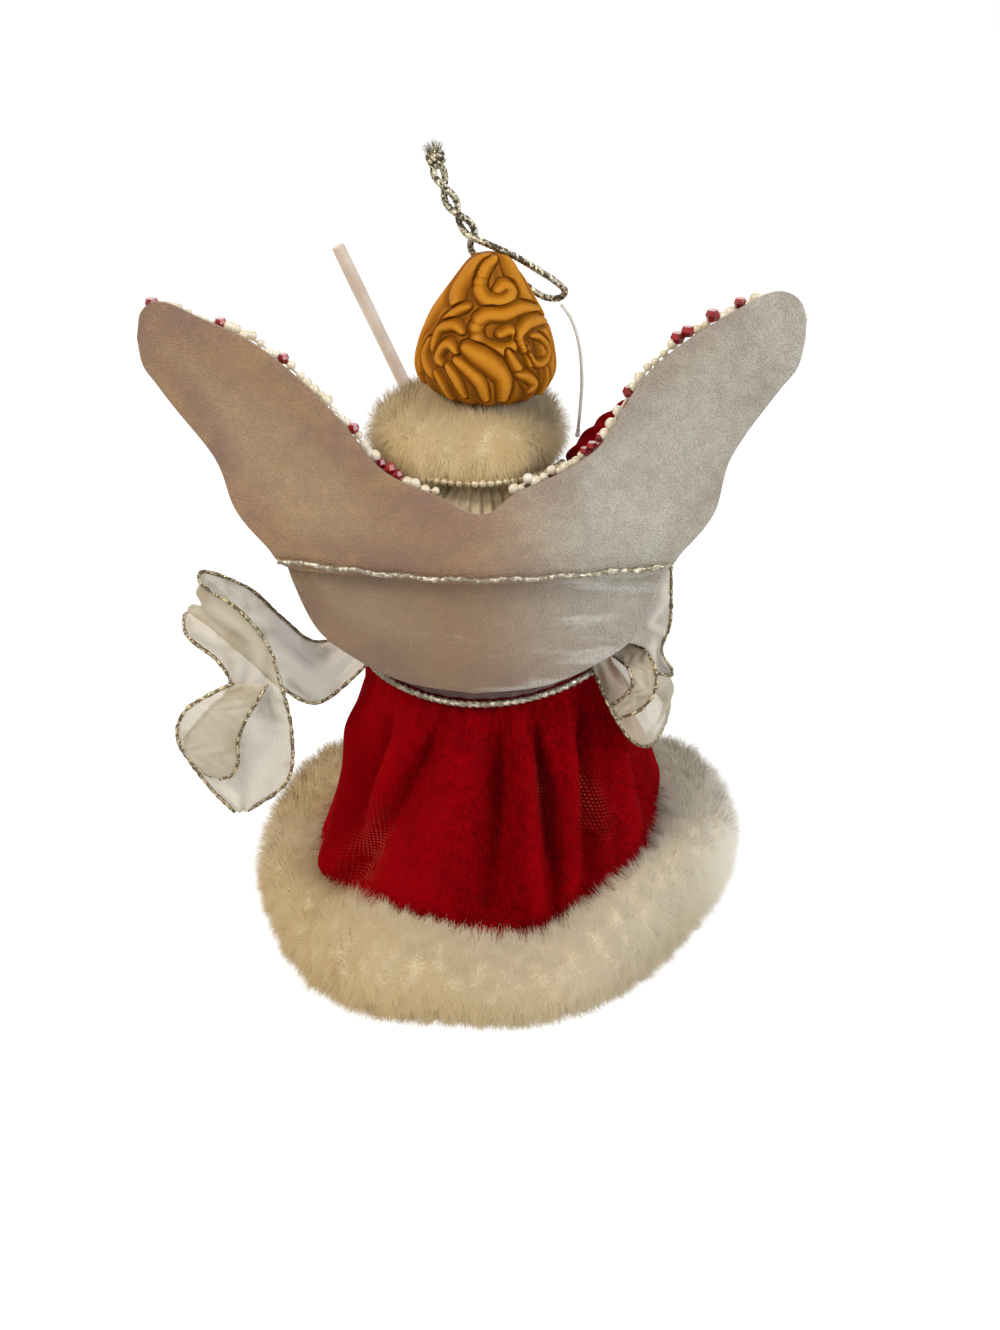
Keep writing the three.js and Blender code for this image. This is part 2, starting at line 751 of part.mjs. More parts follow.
const sleeveStart = shoulderHalfWidth + 2 * clearance;
const leftArm = [
  vec(sleeveStart, 0, shoulderHeight),
  vec(sleeveStart + sleeveCapLength, 0, shoulderHeight),
  vec(29, -1, shoulderHeight - 2),
  vec(36, -4, shoulderHeight - 12),
  vec(37.5, -7, shoulderHeight - 25.5),
  vec(33, -14.5, shoulderHeight - 26.3),
  vec(18.3, -27.5, shoulderHeight - 20.2),
];
const rightArm = [
  vec(-sleeveStart, 0, shoulderHeight),
  vec(-sleeveStart - sleeveCapLength, 0, shoulderHeight),
  vec(-28, -3.5, shoulderHeight + 4.5),
  vec(-34, -8, shoulderHeight + 9),
  vec(-42, -14, shoulderHeight + 13),
  vec(-48, -20.5, shoulderHeight + 17),
];

function sleeveGeometry(points) {
  const curve = smoothCurve(points);
  const steps = armSteps;
  const sides = 12;
  const { normals, binormals } = curve.computeFrenetFrames(steps, false);
  const swell = (t) => lerp(
    lerp(sleeveCapRadius, sleeveRadius, ease(0, 0.16, t)), sleeveWristRadius, ease(0.45, 1, t));
  const ring = (i, radius) => {
    const middle = curve.getPointAt(i / steps);
    return range(sides).map((j) => (j / sides) * 2 * Math.PI).map((turn) => middle.clone()
      .addScaledVector(normals[i], radius * Math.cos(turn))
      .addScaledVector(binormals[i], radius * Math.sin(turn)));
  };
  const outside = range(steps + 1).map((i) => ring(i, swell(i / steps)));
  const bore = range(steps + 1).map((i) => ring(i, wireRadius + clearance)).reverse();
  return loft([...outside, ...bore], 'loop');
}

const armWireGeometry = (points) => tube(points, wireRadius, 6, armSteps);

// A frame at the wrist: its Z goes on along the forearm and its X as near to the given direction as it can
function wristFrame(points, towards) {
  const curve = smoothCurve(points);
  const forward = curve.getTangentAt(1);
  const side = towards.clone().addScaledVector(forward, -towards.dot(forward)).normalize();
  const up = forward.clone().cross(side);
  const frame = new THREE.Matrix4().makeBasis(side, up, forward);
  return frame.setPosition(curve.getPointAt(1));
}

function cuffGeometry() {
  return new THREE.TorusGeometry(cuffRing, cuffTube, 8, 14).translate(0, 0, cuffTube + clearance);
}

function palmPieces() {
  const stub = cylinderBetween(vec(0, 0, clearance), vec(0, 0, palmReach), wristRadius, 8);
  const palm = new THREE.SphereGeometry(1, 10, 8).scale(...palmRadii.toArray()).translate(0, 0, palmReach);
  return [stub, palm];
}

const fingerRow = range(4).map((i) => lerp(-0.72, 0.72, i / 3) * palmRadii.x);

// Open hand: four straight fingers side by side and a thumb
function openHandGeometry() {
  const root = palmReach + 0.45 * palmRadii.z;
  const tip = root + fingerLength;
  const fingers = fingerRow.map((x, i) => {
    const shorter = i === 0 || i === 3 ? 1 : 0;
    const knuckle = vec(x, -0.3, root + 0.5 * fingerLength);
    return tube([vec(0.8 * x, 0, root), knuckle, vec(1.15 * x, -0.9, tip - shorter)], fingerRadius, 5, 3);
  });
  const thumbKnuckle = vec(3.8, -0.8, palmReach + 0.6);
  const thumbPath = [vec(1.5, 0, palmReach - 1), thumbKnuckle, vec(4.8, -1.4, palmReach + 3)];
  const thumb = tube(thumbPath, fingerRadius, 5, 3);
  return joined(...palmPieces(), ...fingers, thumb);
}

// Closed hand: fingers wrap the candle, whose axis runs along X beside the palm
const gripOffset = palmRadii.y + clearance + candleRadius;

function grippingHandGeometry() {
  const wrap = candleRadius + clearance + fingerRadius;
  const arc = (x, from, to) => range(7).map((i) => radians(lerp(from, to, i / 6))).map((turn) => (
    vec(x, gripOffset - wrap * Math.cos(turn), palmReach + wrap * Math.sin(turn))));
  const fingers = fingerRow.map((x) => tube(arc(x, 10, 215), fingerRadius, 5, 5));
  const thumbPlace = 1.35 * palmRadii.x;
  const thumb = tube(arc(thumbPlace, -15, -170), fingerRadius, 5, 5);
  const knucklePath = [vec(fingerRow[0], 0, palmReach + 1.6), vec(thumbPlace, 0, palmReach - 0.6)];
  const knuckles = tube(knucklePath, 1.5 * fingerRadius, 6, 1);
  const wayEnd = 2 * thumbPlace;
  const candleWay = cylinderBetween(
    vec(-wayEnd, gripOffset, palmReach), vec(wayEnd, gripOffset, palmReach), candleRadius + clearance, 16);
  return cut(joined(...palmPieces(), ...fingers, thumb, knuckles), candleWay);
}

// Candle

const candleAxis = vec(Math.sin(radians(candleLean)), 0, Math.cos(radians(candleLean)));

function placeArm(sideName, points, towards, handGeometry) {
  add(`sleeve_${sideName}`, sleeveGeometry(points), 0xa30c0e, 0.9);
  add(`arm_wire_${sideName}`, armWireGeometry(points), 0x8d9094, 0.35, 0.9);
  const wrist = new THREE.Group();
  wristFrame(points, towards).decompose(wrist.position, wrist.quaternion, wrist.scale);
  angel.add(wrist);
  add(`cuff_${sideName}`, cuffGeometry(), 0xe9dfc8, 1, 0, wrist);
  add(`hand_${sideName}`, handGeometry, 0xe6b99a, 0.55, 0, wrist);
  return wrist;
}

// Ribbons: each pair of edge points is [upper edge, lower edge], from the sash outwards. Heights are above
// the lower edge of the sash at the back, and on the facing above the seam.

const byWaist = (x, y, z) => vec(x, y, sashBottom + z);
const onSash = (degrees, z) => around(
  sashInner(sashBottom + z, radians(degrees)) + sashThickness + clearance + ribbonThickness,
  radians(degrees), sashBottom + z);
const onFacing = (x, z) => vec(x, facingDepth(x) - clearance - ribbonThickness, seamHeight + z);

const ribbonLeft = [
  [onSash(6, 8.5), onSash(24, 3.4)],
  [byWaist(40, 8, 4), byWaist(39, 18, -3)],
  [byWaist(46.5, 13, 13), byWaist(46, 20, 0.5)],
  [byWaist(53, 17, 24), byWaist(56, 20.5, 10)],
  [byWaist(59, 21, 29.6), byWaist(65, 21.5, 19.5)],
  [byWaist(58.4, 25.2, 28.6), byWaist(64.6, 25.4, 16)],
  [byWaist(52.3, 28.5, 23.5), byWaist(58.5, 28.4, 10.5)],
  [byWaist(46.3, 30.5, 16.5), byWaist(57, 30.6, 5.5)],
  [byWaist(43.4, 32.5, 7.5), byWaist(61.5, 33, -0.5)],
  [byWaist(41.4, 34.5, -4), byWaist(67, 34.2, -8.5)],
  [byWaist(42.7, 37, -15.2), byWaist(61.6, 37, -17.1)],
  [byWaist(52.4, 38.4, -23), byWaist(55.6, 38.5, -23.4)],
];
const ribbonRight = [
  [onSash(174, 8.5), onSash(155, 3.4)],
  [byWaist(-36.5, 9.5, 5), byWaist(-36, 16, -11)],
  [byWaist(-41, 11.5, 1), byWaist(-41.5, 13, -15.5)],
  [byWaist(-44.6, 8.4, -1), byWaist(-44, 7.4, -12)],
  [byWaist(-44.8, 6.5, 6), byWaist(-38, 5, 2)],
  [byWaist(-44.3, 11, 16), byWaist(-35.5, 12.5, 18)],
  [onFacing(-41.4, -4), onFacing(-33.5, -2)],
];

function ribbonGeometry(pairs, along) {
  const [first, second] = [0, 1].map((edge) => smoothCurve(pairs.map((pair) => pair[edge])));
  const middle = (u, v) => first.getPoint(u).lerp(second.getPoint(u), v);
  const step = 0.004;
  const place = (u, v, side) => {
    const lengthwise = middle(Math.min(1, u + step), v).sub(middle(Math.max(0, u - step), v));
    const normal = lengthwise.cross(second.getPoint(u).sub(first.getPoint(u))).normalize();
    return middle(u, v).addScaledVector(normal, (side - 0.5) * ribbonThickness);
  };
  return sheetSolid(place, along, 3);
}

// Hanging cord: two strands from the crown eye, twisted together up to one knot, and a nylon thread over the
// bend of the longer one. Heights are above the mouth of the cone.

const overCone = (x, y, z) => vec(x, y, coneHeight + z);
const knotMiddle = overCone(8, 0, 67.3);
const twistAxis = smoothCurve([
  overCone(0.4, -0.2, 49.4), overCone(3.4, 0, 53.4), overCone(6.2, 0, 58.6), overCone(7.9, 0, 64.6),
]);

// Points of one strand of the twist, which winds round the twist's axis from a starting angle
function twisted(start) {
  return range(9).map((i) => i / 8).map((t) => {
    const along = twistAxis.getTangentAt(t);
    const side = along.clone().cross(vec(0, 1, 0)).normalize();
    const up = side.clone().cross(along);
    const turn = radians(start) + 2 * Math.PI * twistTurns * t;
    return twistAxis.getPointAt(t)
      .addScaledVector(side, twistRadius * Math.cos(turn))
      .addScaledVector(up, twistRadius * Math.sin(turn));
  });
}

const shortStrand = [
  overCone(-2.9, -10.1, 40), overCone(-0.4, -10.3, 40.6), overCone(1.6, -8.6, 43.2),
  overCone(1.4, -4.6, 47), ...twisted(-90),
];
const longStrand = [
  overCone(-3.9, -10.1, 39.9), overCone(-6.8, -10.6, 38.6), overCone(-10.8, -11.7, 35.2),
  overCone(-14.6, -12.3, 33.2), overCone(-18, -12.2, 33.1), overCone(-19.9, -10.9, 35),
  overCone(-18.2, -8.6, 37.9), overCone(-14.6, -5.6, 40.9), overCone(-9.8, -2.6, 44.3),
  overCone(-5, -0.4, 46.9), ...twisted(90),
];
const tagThread = [
  overCone(-18.3, -12.4, 31.6), overCone(-20.2, -11.9, 28), overCone(-22, -11, 21.4),
  overCone(-22.6, -10.2, 13), overCone(-22.2, -9.6, 6.4), overCone(-21.6, -9.6, 0.6),
];

const knotGeometry = () => new THREE.SphereGeometry(knotRadius, 12, 8).translate(...knotMiddle.toArray());

function tagThreadGeometry() {
  const end = tagThread[tagThread.length - 1];
  const bar = cylinderBetween(
    vec(end.x, end.y - threadBarLength / 2, end.z), vec(end.x, end.y + threadBarLength / 2, end.z),
    threadBarRadius, 8);
  return joined(tube(tagThread, threadRadius, 8, 10), bar);
}

// Least distance between two strands above the eye where they meet, measured on points along them
function leastGap(first, second, diameter) {
  const [a, b] = [first, second].map((points) => smoothCurve(points).getSpacedPoints(120).slice(15));
  return Math.min(...a.map((point) => Math.min(...b.map((other) => point.distanceTo(other))))) - diameter;
}

// Assembly of the pieces

add('body_cone', coneGeometry(), 0xb59a72, 0.9);
add('neck_plug', neckPlugGeometry(), 0xc9a878, 0.7);
add('shoulder_wire', shoulderWireGeometry(), 0x8d9094, 0.35, 0.9);
add('head', headGeometry(), 0xe6b99a, 0.55, 0, headFrame);
add('hair', hairGeometry(), 0xb87b2e, 0.6, 0, headFrame);
add('crown_eye', crownEyeGeometry(), 0x9a9a98, 0.3, 0.9, headFrame);
add('skirt', skirtGeometry(), 0xa30c0e, 0.95);
add('hem_fur', hemGeometry(), 0xe9dfc8, 1);
add('waist_sash', sashGeometry(), 0x9d8b8c, 0.6);
add('sash_edge_cord', sashCordGeometry(), 0xb9b7b2, 0.35, 0.8);
add('bodice', bodiceGeometry(), 0xa30c0e, 0.95);
add('collar_fur', collarGeometry(), 0xe9dfc8, 1);
add('collar_bead_string', collarBeadsGeometry(), 0xc9a35a, 0.3, 0.7);
add('back_yoke', yokeGeometry(), 0x8d8377, 0.7);
const facing = wingPanel(facingHem, upperEdge, facingDepth, facingThickness, 40, 3, facingEdge, sag);
const upperPanel = wingPanel(upperPanelHem, upperEdge, upperPanelDepth, feltThickness, 40, 5, 0, sag);
const lowerPanel = wingPanel(lowerPanelHem, lowerPanelHead, lowerPanelDepth, feltThickness, 20, 3);
add('wing_facing', facing, 0xe6e1d6, 0.6);
add('wing_upper_panel', upperPanel, 0xb9b2a4, 0.95);
add('wing_lower_panel', lowerPanel, 0xaea69c, 0.8);
add('wing_seam_cord', seamCordGeometry(), 0xb9b7b2, 0.35, 0.8);
add('wing_pad', wingPadGeometry(), 0xa89f90, 0.95);
add('wing_bead_string_left', wingBeadsGeometry(1), 0xefe6d2, 0.25);
add('wing_bead_string_right', wingBeadsGeometry(-1), 0xefe6d2, 0.25);

const leftWrist = placeArm('left', leftArm, candleAxis, grippingHandGeometry());
placeArm('right', rightArm, vec(1, 0, 0), openHandGeometry());
const candle = cylinderBetween(
  vec(-candleBelowHand, gripOffset, palmReach), vec(candleAboveHand, gripOffset, palmReach),
  candleRadius, 20);
add('candle', candle, 0xe9dccb, 0.5, 0, leftWrist);
add('ribbon_left', ribbonGeometry(ribbonLeft, 34), 0xa39a92, 0.5);
add('ribbon_right', ribbonGeometry(ribbonRight, 20), 0xa39a92, 0.5);
add('hanging_cord_short', tube(shortStrand, cordRadius, 8, 26), 0xa8a69c, 0.4, 0.7);
add('hanging_cord_long', tube(longStrand, cordRadius, 8, 44), 0xa8a69c, 0.4, 0.7);
add('hanging_knot', knotGeometry(), 0xa8a69c, 0.4, 0.7);
add('tag_thread', tagThreadGeometry(), 0xd9d9d6, 0.3);

const strandGap = leastGap(shortStrand, longStrand, 2 * cordRadius);
console.log('least gap between the cord strands, mm:', strandGap.toFixed(2));

export default angel;
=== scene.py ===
"""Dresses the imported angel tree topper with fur, velvet, felt, organza, carved hair, beads and cords.

Shapes are worked out as whole numpy arrays in millimetres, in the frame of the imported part: +Z is up, the
angel faces -Y and its left hand is at +X. They go into meshes in metres.
"""

from __future__ import annotations

import logging
from collections.abc import Callable
from dataclasses import dataclass, field
from enum import Enum

import bpy
import numpy as np
from mathutils import Matrix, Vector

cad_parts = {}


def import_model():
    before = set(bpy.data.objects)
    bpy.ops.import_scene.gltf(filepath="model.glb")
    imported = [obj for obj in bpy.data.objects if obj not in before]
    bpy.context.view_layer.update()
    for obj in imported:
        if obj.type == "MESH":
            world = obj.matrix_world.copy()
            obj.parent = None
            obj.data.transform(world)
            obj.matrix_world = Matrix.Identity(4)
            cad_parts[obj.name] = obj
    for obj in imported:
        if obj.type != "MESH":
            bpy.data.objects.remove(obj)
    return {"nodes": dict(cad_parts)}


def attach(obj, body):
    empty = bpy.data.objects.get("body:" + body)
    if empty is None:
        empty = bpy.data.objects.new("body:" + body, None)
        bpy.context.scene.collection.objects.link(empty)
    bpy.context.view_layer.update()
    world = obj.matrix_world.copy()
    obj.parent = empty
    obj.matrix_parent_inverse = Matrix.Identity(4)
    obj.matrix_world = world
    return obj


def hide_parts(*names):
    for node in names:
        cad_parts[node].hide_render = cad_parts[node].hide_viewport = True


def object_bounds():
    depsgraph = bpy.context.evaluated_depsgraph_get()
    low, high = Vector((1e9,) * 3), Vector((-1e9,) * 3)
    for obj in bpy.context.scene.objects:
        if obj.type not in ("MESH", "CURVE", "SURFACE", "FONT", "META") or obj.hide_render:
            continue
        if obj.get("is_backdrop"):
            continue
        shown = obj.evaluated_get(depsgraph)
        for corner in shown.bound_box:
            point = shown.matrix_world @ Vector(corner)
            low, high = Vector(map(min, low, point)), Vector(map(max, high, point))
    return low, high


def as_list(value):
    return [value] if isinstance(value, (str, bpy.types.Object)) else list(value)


LOG = logging.getLogger("angel_topper")
MM = 0.001
TURN = 2.0 * np.pi
Triple = tuple[float, float, float]
Socket = bpy.types.NodeSocket


class Body(str, Enum):
    """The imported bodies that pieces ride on."""

    FIGURE = "figure"
    LEFT_ARM = "left_arm"
    RIGHT_ARM = "right_arm"


class Side(Enum):
    """The angel's left and right, as the sign of X."""

    LEFT = 1
    RIGHT = -1

    @property
    def label(self) -> str:
        """Its name as pieces and nodes carry it."""
        return self.name.lower()


# Curves and fields


def ease(low: float, high: float, value: np.ndarray) -> np.ndarray:
    """Smooth step from 0 at low to 1 at high."""
    share = np.clip((value - low) / (high - low), 0.0, 1.0)
    return share * share * (3.0 - 2.0 * share)


def bell(value: np.ndarray, width: float) -> np.ndarray:
    """Bell curve that is 1 at zero and 1/e at width."""
    return np.exp(-((value / width) ** 2))


def mix(a: np.ndarray, b: np.ndarray, share: np.ndarray) -> np.ndarray:
    """Straight blend from a at share 0 to b at share 1."""
    return a + (b - a) * share


def unit(vectors: np.ndarray) -> np.ndarray:
    """Vectors brought to length 1."""
    return vectors / np.maximum(np.linalg.norm(vectors, axis=-1, keepdims=True), 1e-9)


def stack(*parts: np.ndarray) -> np.ndarray:
    """Coordinates of equal or broadcast shape, stacked along a new last axis."""
    return np.stack(np.broadcast_arrays(*parts), axis=-1)


def lumps(points: np.ndarray, wavelength: float, seed: int, waves: int = 9) -> np.ndarray:
    """Gentle random field: a mean of plane sine waves in seeded directions.

    Args:
        points: places, with three coordinates on the last axis.
        wavelength: typical distance between lumps.
        seed: picks the directions and phases.
        waves: how many waves are summed.

    Returns:
        Values of about -1 to 1, one per place.
    """
    rng = np.random.default_rng(seed)
    directions = unit(rng.normal(size=(waves, 3))) * rng.uniform(0.6, 1.5, (waves, 1)) * TURN / wavelength
    phases = rng.uniform(0.0, TURN, waves)
    return np.sin(points @ directions.T + phases).sum(axis=-1) / np.sqrt(waves)


def turns(count: int) -> np.ndarray:
    """Directions evenly round an axis, in radians."""
    return np.linspace(0.0, TURN, count, endpoint=False)


def turn_from(angle: np.ndarray, degrees: np.ndarray) -> np.ndarray:
    """Angle from a direction in degrees, between minus and plus half a turn, in radians."""
    return np.angle(np.exp(1j * (angle - np.radians(degrees))))


def even_steps(line: np.ndarray, count: int) -> np.ndarray:
    """A fine polyline sampled again at equal steps along its length."""
    lengths = np.linalg.norm(np.diff(line, axis=0), axis=1)
    places = np.concatenate([[0.0], np.cumsum(lengths)])
    wanted = np.linspace(0.0, places[-1], count)
    return np.stack([np.interp(wanted, places, column) for column in line.T], axis=-1)


def smooth_path(stops: list | np.ndarray, count: int) -> np.ndarray:
    """Centripetal spline through stops, at equal steps along its length.

    Each span is a cubic whose end slopes come from its neighbours, weighted by the square roots of the gaps.

    Args:
        stops: points that the path passes through, in two or three dimensions.
        count: number of points to return.

    Returns:
        Points along the path.
    """
    given = np.asarray(stops, float)
    knots = np.vstack([2.0 * given[0] - given[1], given, 2.0 * given[-1] - given[-2]])
    spans = len(given) - 1
    place = np.linspace(0.0, spans, spans * 40 + 1)
    span = np.minimum(place.astype(int), spans - 1)
    t = (place - span)[:, None]
    p0, p1, p2, p3 = (knots[span + shift] for shift in range(4))
    gaps = (p1 - p0, p2 - p1, p3 - p2)
    d0, d1, d2 = (np.linalg.norm(gap, axis=1, keepdims=True) ** 0.5 for gap in gaps)
    slope1 = ((p1 - p0) / d0 - (p2 - p0) / (d0 + d1) + (p2 - p1) / d1) * d1
    slope2 = ((p2 - p1) / d1 - (p3 - p1) / (d1 + d2) + (p3 - p2) / d2) * d1
    line = (2 * t**3 - 3 * t**2 + 1) * p1 + (t**3 - 2 * t**2 + t) * slope1
    line = line + (3 * t**2 - 2 * t**3) * p2 + (t**3 - t**2) * slope2
    return even_steps(line, count)


def frames(path: np.ndarray, reference: Triple) -> tuple[np.ndarray, np.ndarray, np.ndarray]:
    """Directions along a path and two square to it.

    Args:
        path: points along the path.
        reference: a direction that the path never runs in.

    Returns:
        Tangents, sides and ups, each one row per point.
    """
    along = unit(np.gradient(path, axis=0))
    side = unit(np.cross(along, np.asarray(reference, float)))
    return along, side, np.cross(side, along)


# Surfaces


@dataclass
class Shell:
    """A surface: points in millimetres, arrays of faces as corner numbers, and a UV for every corner."""

    points: np.ndarray
    faces: list[np.ndarray]
    uvs: list[np.ndarray]

    @staticmethod
    def grid(points: np.ndarray, wrap_rows: bool = False, wrap_columns: bool = False) -> Shell:
        """Quads over a grid of points.

        Args:
            points: array of rows by columns by three.
            wrap_rows: the last row joins the first.
            wrap_columns: the last column joins the first.

        Returns:
            The surface, with U along the columns and V along the rows.
        """
        rows, columns = points.shape[:2]
        row, column = np.meshgrid(
            np.arange(rows if wrap_rows else rows - 1),
            np.arange(columns if wrap_columns else columns - 1),
            indexing="ij",
        )
        corners = [(row, column), (row, column + 1), (row + 1, column + 1), (row + 1, column)]
        quads = np.stack([(r % rows) * columns + c % columns for r, c in corners], axis=-1).reshape(-1, 4)
        uvs = np.stack([stack(c / columns, r / rows) for r, c in corners], axis=-2).reshape(-1, 4, 2)
        return Shell(points.reshape(-1, 3), [quads], [uvs])

    @staticmethod
    def closed(points: np.ndarray) -> Shell:
        """Quads over a grid that wraps both ways, facing out."""
        return Shell.grid(points, wrap_rows=True, wrap_columns=True).outward()

    @staticmethod
    def lined(outside: np.ndarray, inside: np.ndarray) -> Shell:
        """A ring of cloth with a thickness: grids of its outside and inside, both running round the axis."""
        return Shell.closed(np.concatenate([outside, inside[:, ::-1]], axis=1))

    @staticmethod
    def tube(rings: np.ndarray) -> Shell:
        """Closed rings joined in a row, with a fan of triangles over each end."""
        shell = Shell.grid(rings, wrap_columns=True)
        count, size = rings.shape[:2]
        start = count * size
        turn = np.arange(size)
        ends = [(0, start, turn, np.roll(turn, -1)), (count - 1, start + 1, np.roll(turn, -1), turn)]
        fans = np.concatenate([
            np.stack([np.full(size, hub), ring * size + b, ring * size + a], axis=-1)
            for ring, hub, a, b in ends
        ])
        hubs = np.stack([rings[0].mean(axis=0), rings[-1].mean(axis=0)])
        shell.points = np.vstack([shell.points, hubs])
        shell.faces.append(fans)
        shell.uvs.append(np.full((len(fans), 3, 2), 0.5))
        return shell

    @staticmethod
    def slab(front: np.ndarray, back: np.ndarray) -> Shell:
        """A sheet with a thickness: front and back grids, joined round their edges."""
        ring = np.concatenate([front, back[:, ::-1]], axis=1)
        shell = Shell.grid(ring, wrap_columns=True)
        rows, size = ring.shape[:2]
        step = np.arange(size // 2 - 1)
        near = np.stack([step, size - 1 - step, size - 2 - step, step + 1], axis=-1)
        far = (rows - 1) * size + near[:, ::-1]
        shell.faces.append(np.vstack([near, far]))
        shell.uvs.append(np.full((2 * len(step), 4, 2), 0.5))
        return shell

    @staticmethod
    def joined(shells: list[Shell]) -> Shell:
        """Several surfaces as one."""
        starts = np.cumsum([0] + [len(shell.points) for shell in shells])
        return Shell(
            np.vstack([shell.points for shell in shells]),
            [face + start for shell, start in zip(shells, starts) for face in shell.faces],
            [uv for shell in shells for uv in shell.uvs],
        )

    def triangles(self) -> np.ndarray:
        """Corner numbers of all faces, cut into triangles."""
        return np.vstack([
            face[:, [0, k, k + 1]] for face in self.faces for k in range(1, face.shape[1] - 1)
        ])

    def outward(self) -> Shell:
        """The same closed surface with its faces pointing out: its signed volume is made positive."""
        a, b, c = (self.points[corner] for corner in self.triangles().T)
        if np.einsum("ij,ij->i", a, np.cross(b, c)).sum() < 0.0:
            self.faces = [face[:, ::-1] for face in self.faces]
            self.uvs = [uv[:, ::-1] for uv in self.uvs]
        return self

    def scatter(self, count: int, rng: np.random.Generator) -> tuple[np.ndarray, np.ndarray]:
        """Random places spread evenly over the surface.

        Args:
            count: number of places.
            rng: source of the random draws.

        Returns:
            Places, and the directions that the surface faces there.
        """
        a, b, c = (self.points[corner] for corner in self.triangles().T)
        across = np.cross(b - a, c - a)
        area = np.linalg.norm(across, axis=1)
        picked = rng.choice(len(area), size=count, p=area / area.sum())
        u, v = rng.random((2, count, 1))
        fold = u + v > 1.0
        u, v = np.where(fold, 1.0 - u, u), np.where(fold, 1.0 - v, v)
        places = a[picked] + u * (b - a)[picked] + v * (c - a)[picked]
        return places, unit(across[picked])

    def make(
        self,
        name: str,
        values: dict[str, np.ndarray] | None = None,
        normals: np.ndarray | None = None,
        sharp: float | None = None,
    ) -> bpy.types.Object:
        """Puts the surface into a new object at the origin.

        Args:
            name: name of the piece.
            values: one number per point for each named attribute.
            normals: shading directions, one per point.
            sharp: angle in degrees past which an edge is shaded sharp.

        Returns:
            The object.
        """
        mesh = bpy.data.meshes.new(name)
        sizes = np.concatenate([np.full(len(face), face.shape[1]) for face in self.faces])
        corners = np.concatenate([face.ravel() for face in self.faces]).astype(np.int32)
        mesh.vertices.add(len(self.points))
        mesh.vertices.foreach_set("co", (self.points * MM).astype(np.float32).ravel())
        mesh.loops.add(len(corners))
        mesh.loops.foreach_set("vertex_index", corners)
        mesh.polygons.add(len(sizes))
        mesh.polygons.foreach_set("loop_start", np.concatenate([[0], np.cumsum(sizes)[:-1]]).astype(np.int32))
        mesh.polygons.foreach_set("use_smooth", np.ones(len(sizes), dtype=bool))
        layer = mesh.uv_layers.new(name="surface")
        layer.data.foreach_set("uv", np.concatenate([uv.ravel() for uv in self.uvs]).astype(np.float32))
        for key, numbers in (values or {}).items():
            attribute = mesh.attributes.new(key, "FLOAT", "POINT")
            attribute.data.foreach_set("value", np.asarray(numbers, np.float32).ravel())
        mesh.update(calc_edges=True)
        if sharp is not None:
            mesh.set_sharp_from_angle(angle=np.radians(sharp))
        if normals is not None:
            mesh.normals_split_custom_set_from_vertices(normals.astype(np.float32))
        piece = bpy.data.objects.new(name, mesh)
        bpy.context.scene.collection.objects.link(piece)
        return piece


def swept(path: np.ndarray, radius: np.ndarray, reference: Triple, sides: int) -> Shell:
    """A tube along a path.

    Args:
        path: points along the middle.
        radius: one number, one per point, or one per point and side.
        reference: a direction that the path never runs in.
        sides: points round the tube.

    Returns:
        The closed tube.
    """
    _, side, up = frames(path, reference)
    turn = turns(sides)
    spread = np.asarray(radius, float)
    spread = spread[:, None] if spread.ndim == 1 else spread
    ring = side[:, None] * np.cos(turn)[:, None] + up[:, None] * np.sin(turn)[:, None]
    rings = path[:, None] + ring * np.broadcast_to(spread, (len(path), sides))[..., None]
    return Shell.tube(rings).outward()


def ball(columns: int, rows: int) -> Shell:
    """A unit ball: rings of latitude, closed by fans at the poles."""
    latitude = np.linspace(-np.pi / 2, np.pi / 2, rows + 2)[1:-1, None]
    turn = turns(columns)
    flat = np.cos(latitude)
    rings = stack(flat * np.cos(turn), flat * np.sin(turn), np.sin(latitude) + 0.0 * turn)
    return Shell.tube(rings).outward()


def copies(shell: Shell, places: np.ndarray, sizes: np.ndarray) -> Shell:
    """One small shape set down at many places, in its own size at each."""
    count, each = len(places), len(shell.points)
    points = places[:, None] + shell.points[None] * np.asarray(sizes, float).reshape(count, 1, -1)
    shift = (np.arange(count) * each)[:, None, None]
    faces = [(face[None] + shift).reshape(-1, face.shape[1]) for face in shell.faces]
    uvs = [np.tile(uv, (count, 1, 1)) for uv in shell.uvs]
    return Shell(points.reshape(-1, 3), faces, uvs)


# Sizes that several pieces share


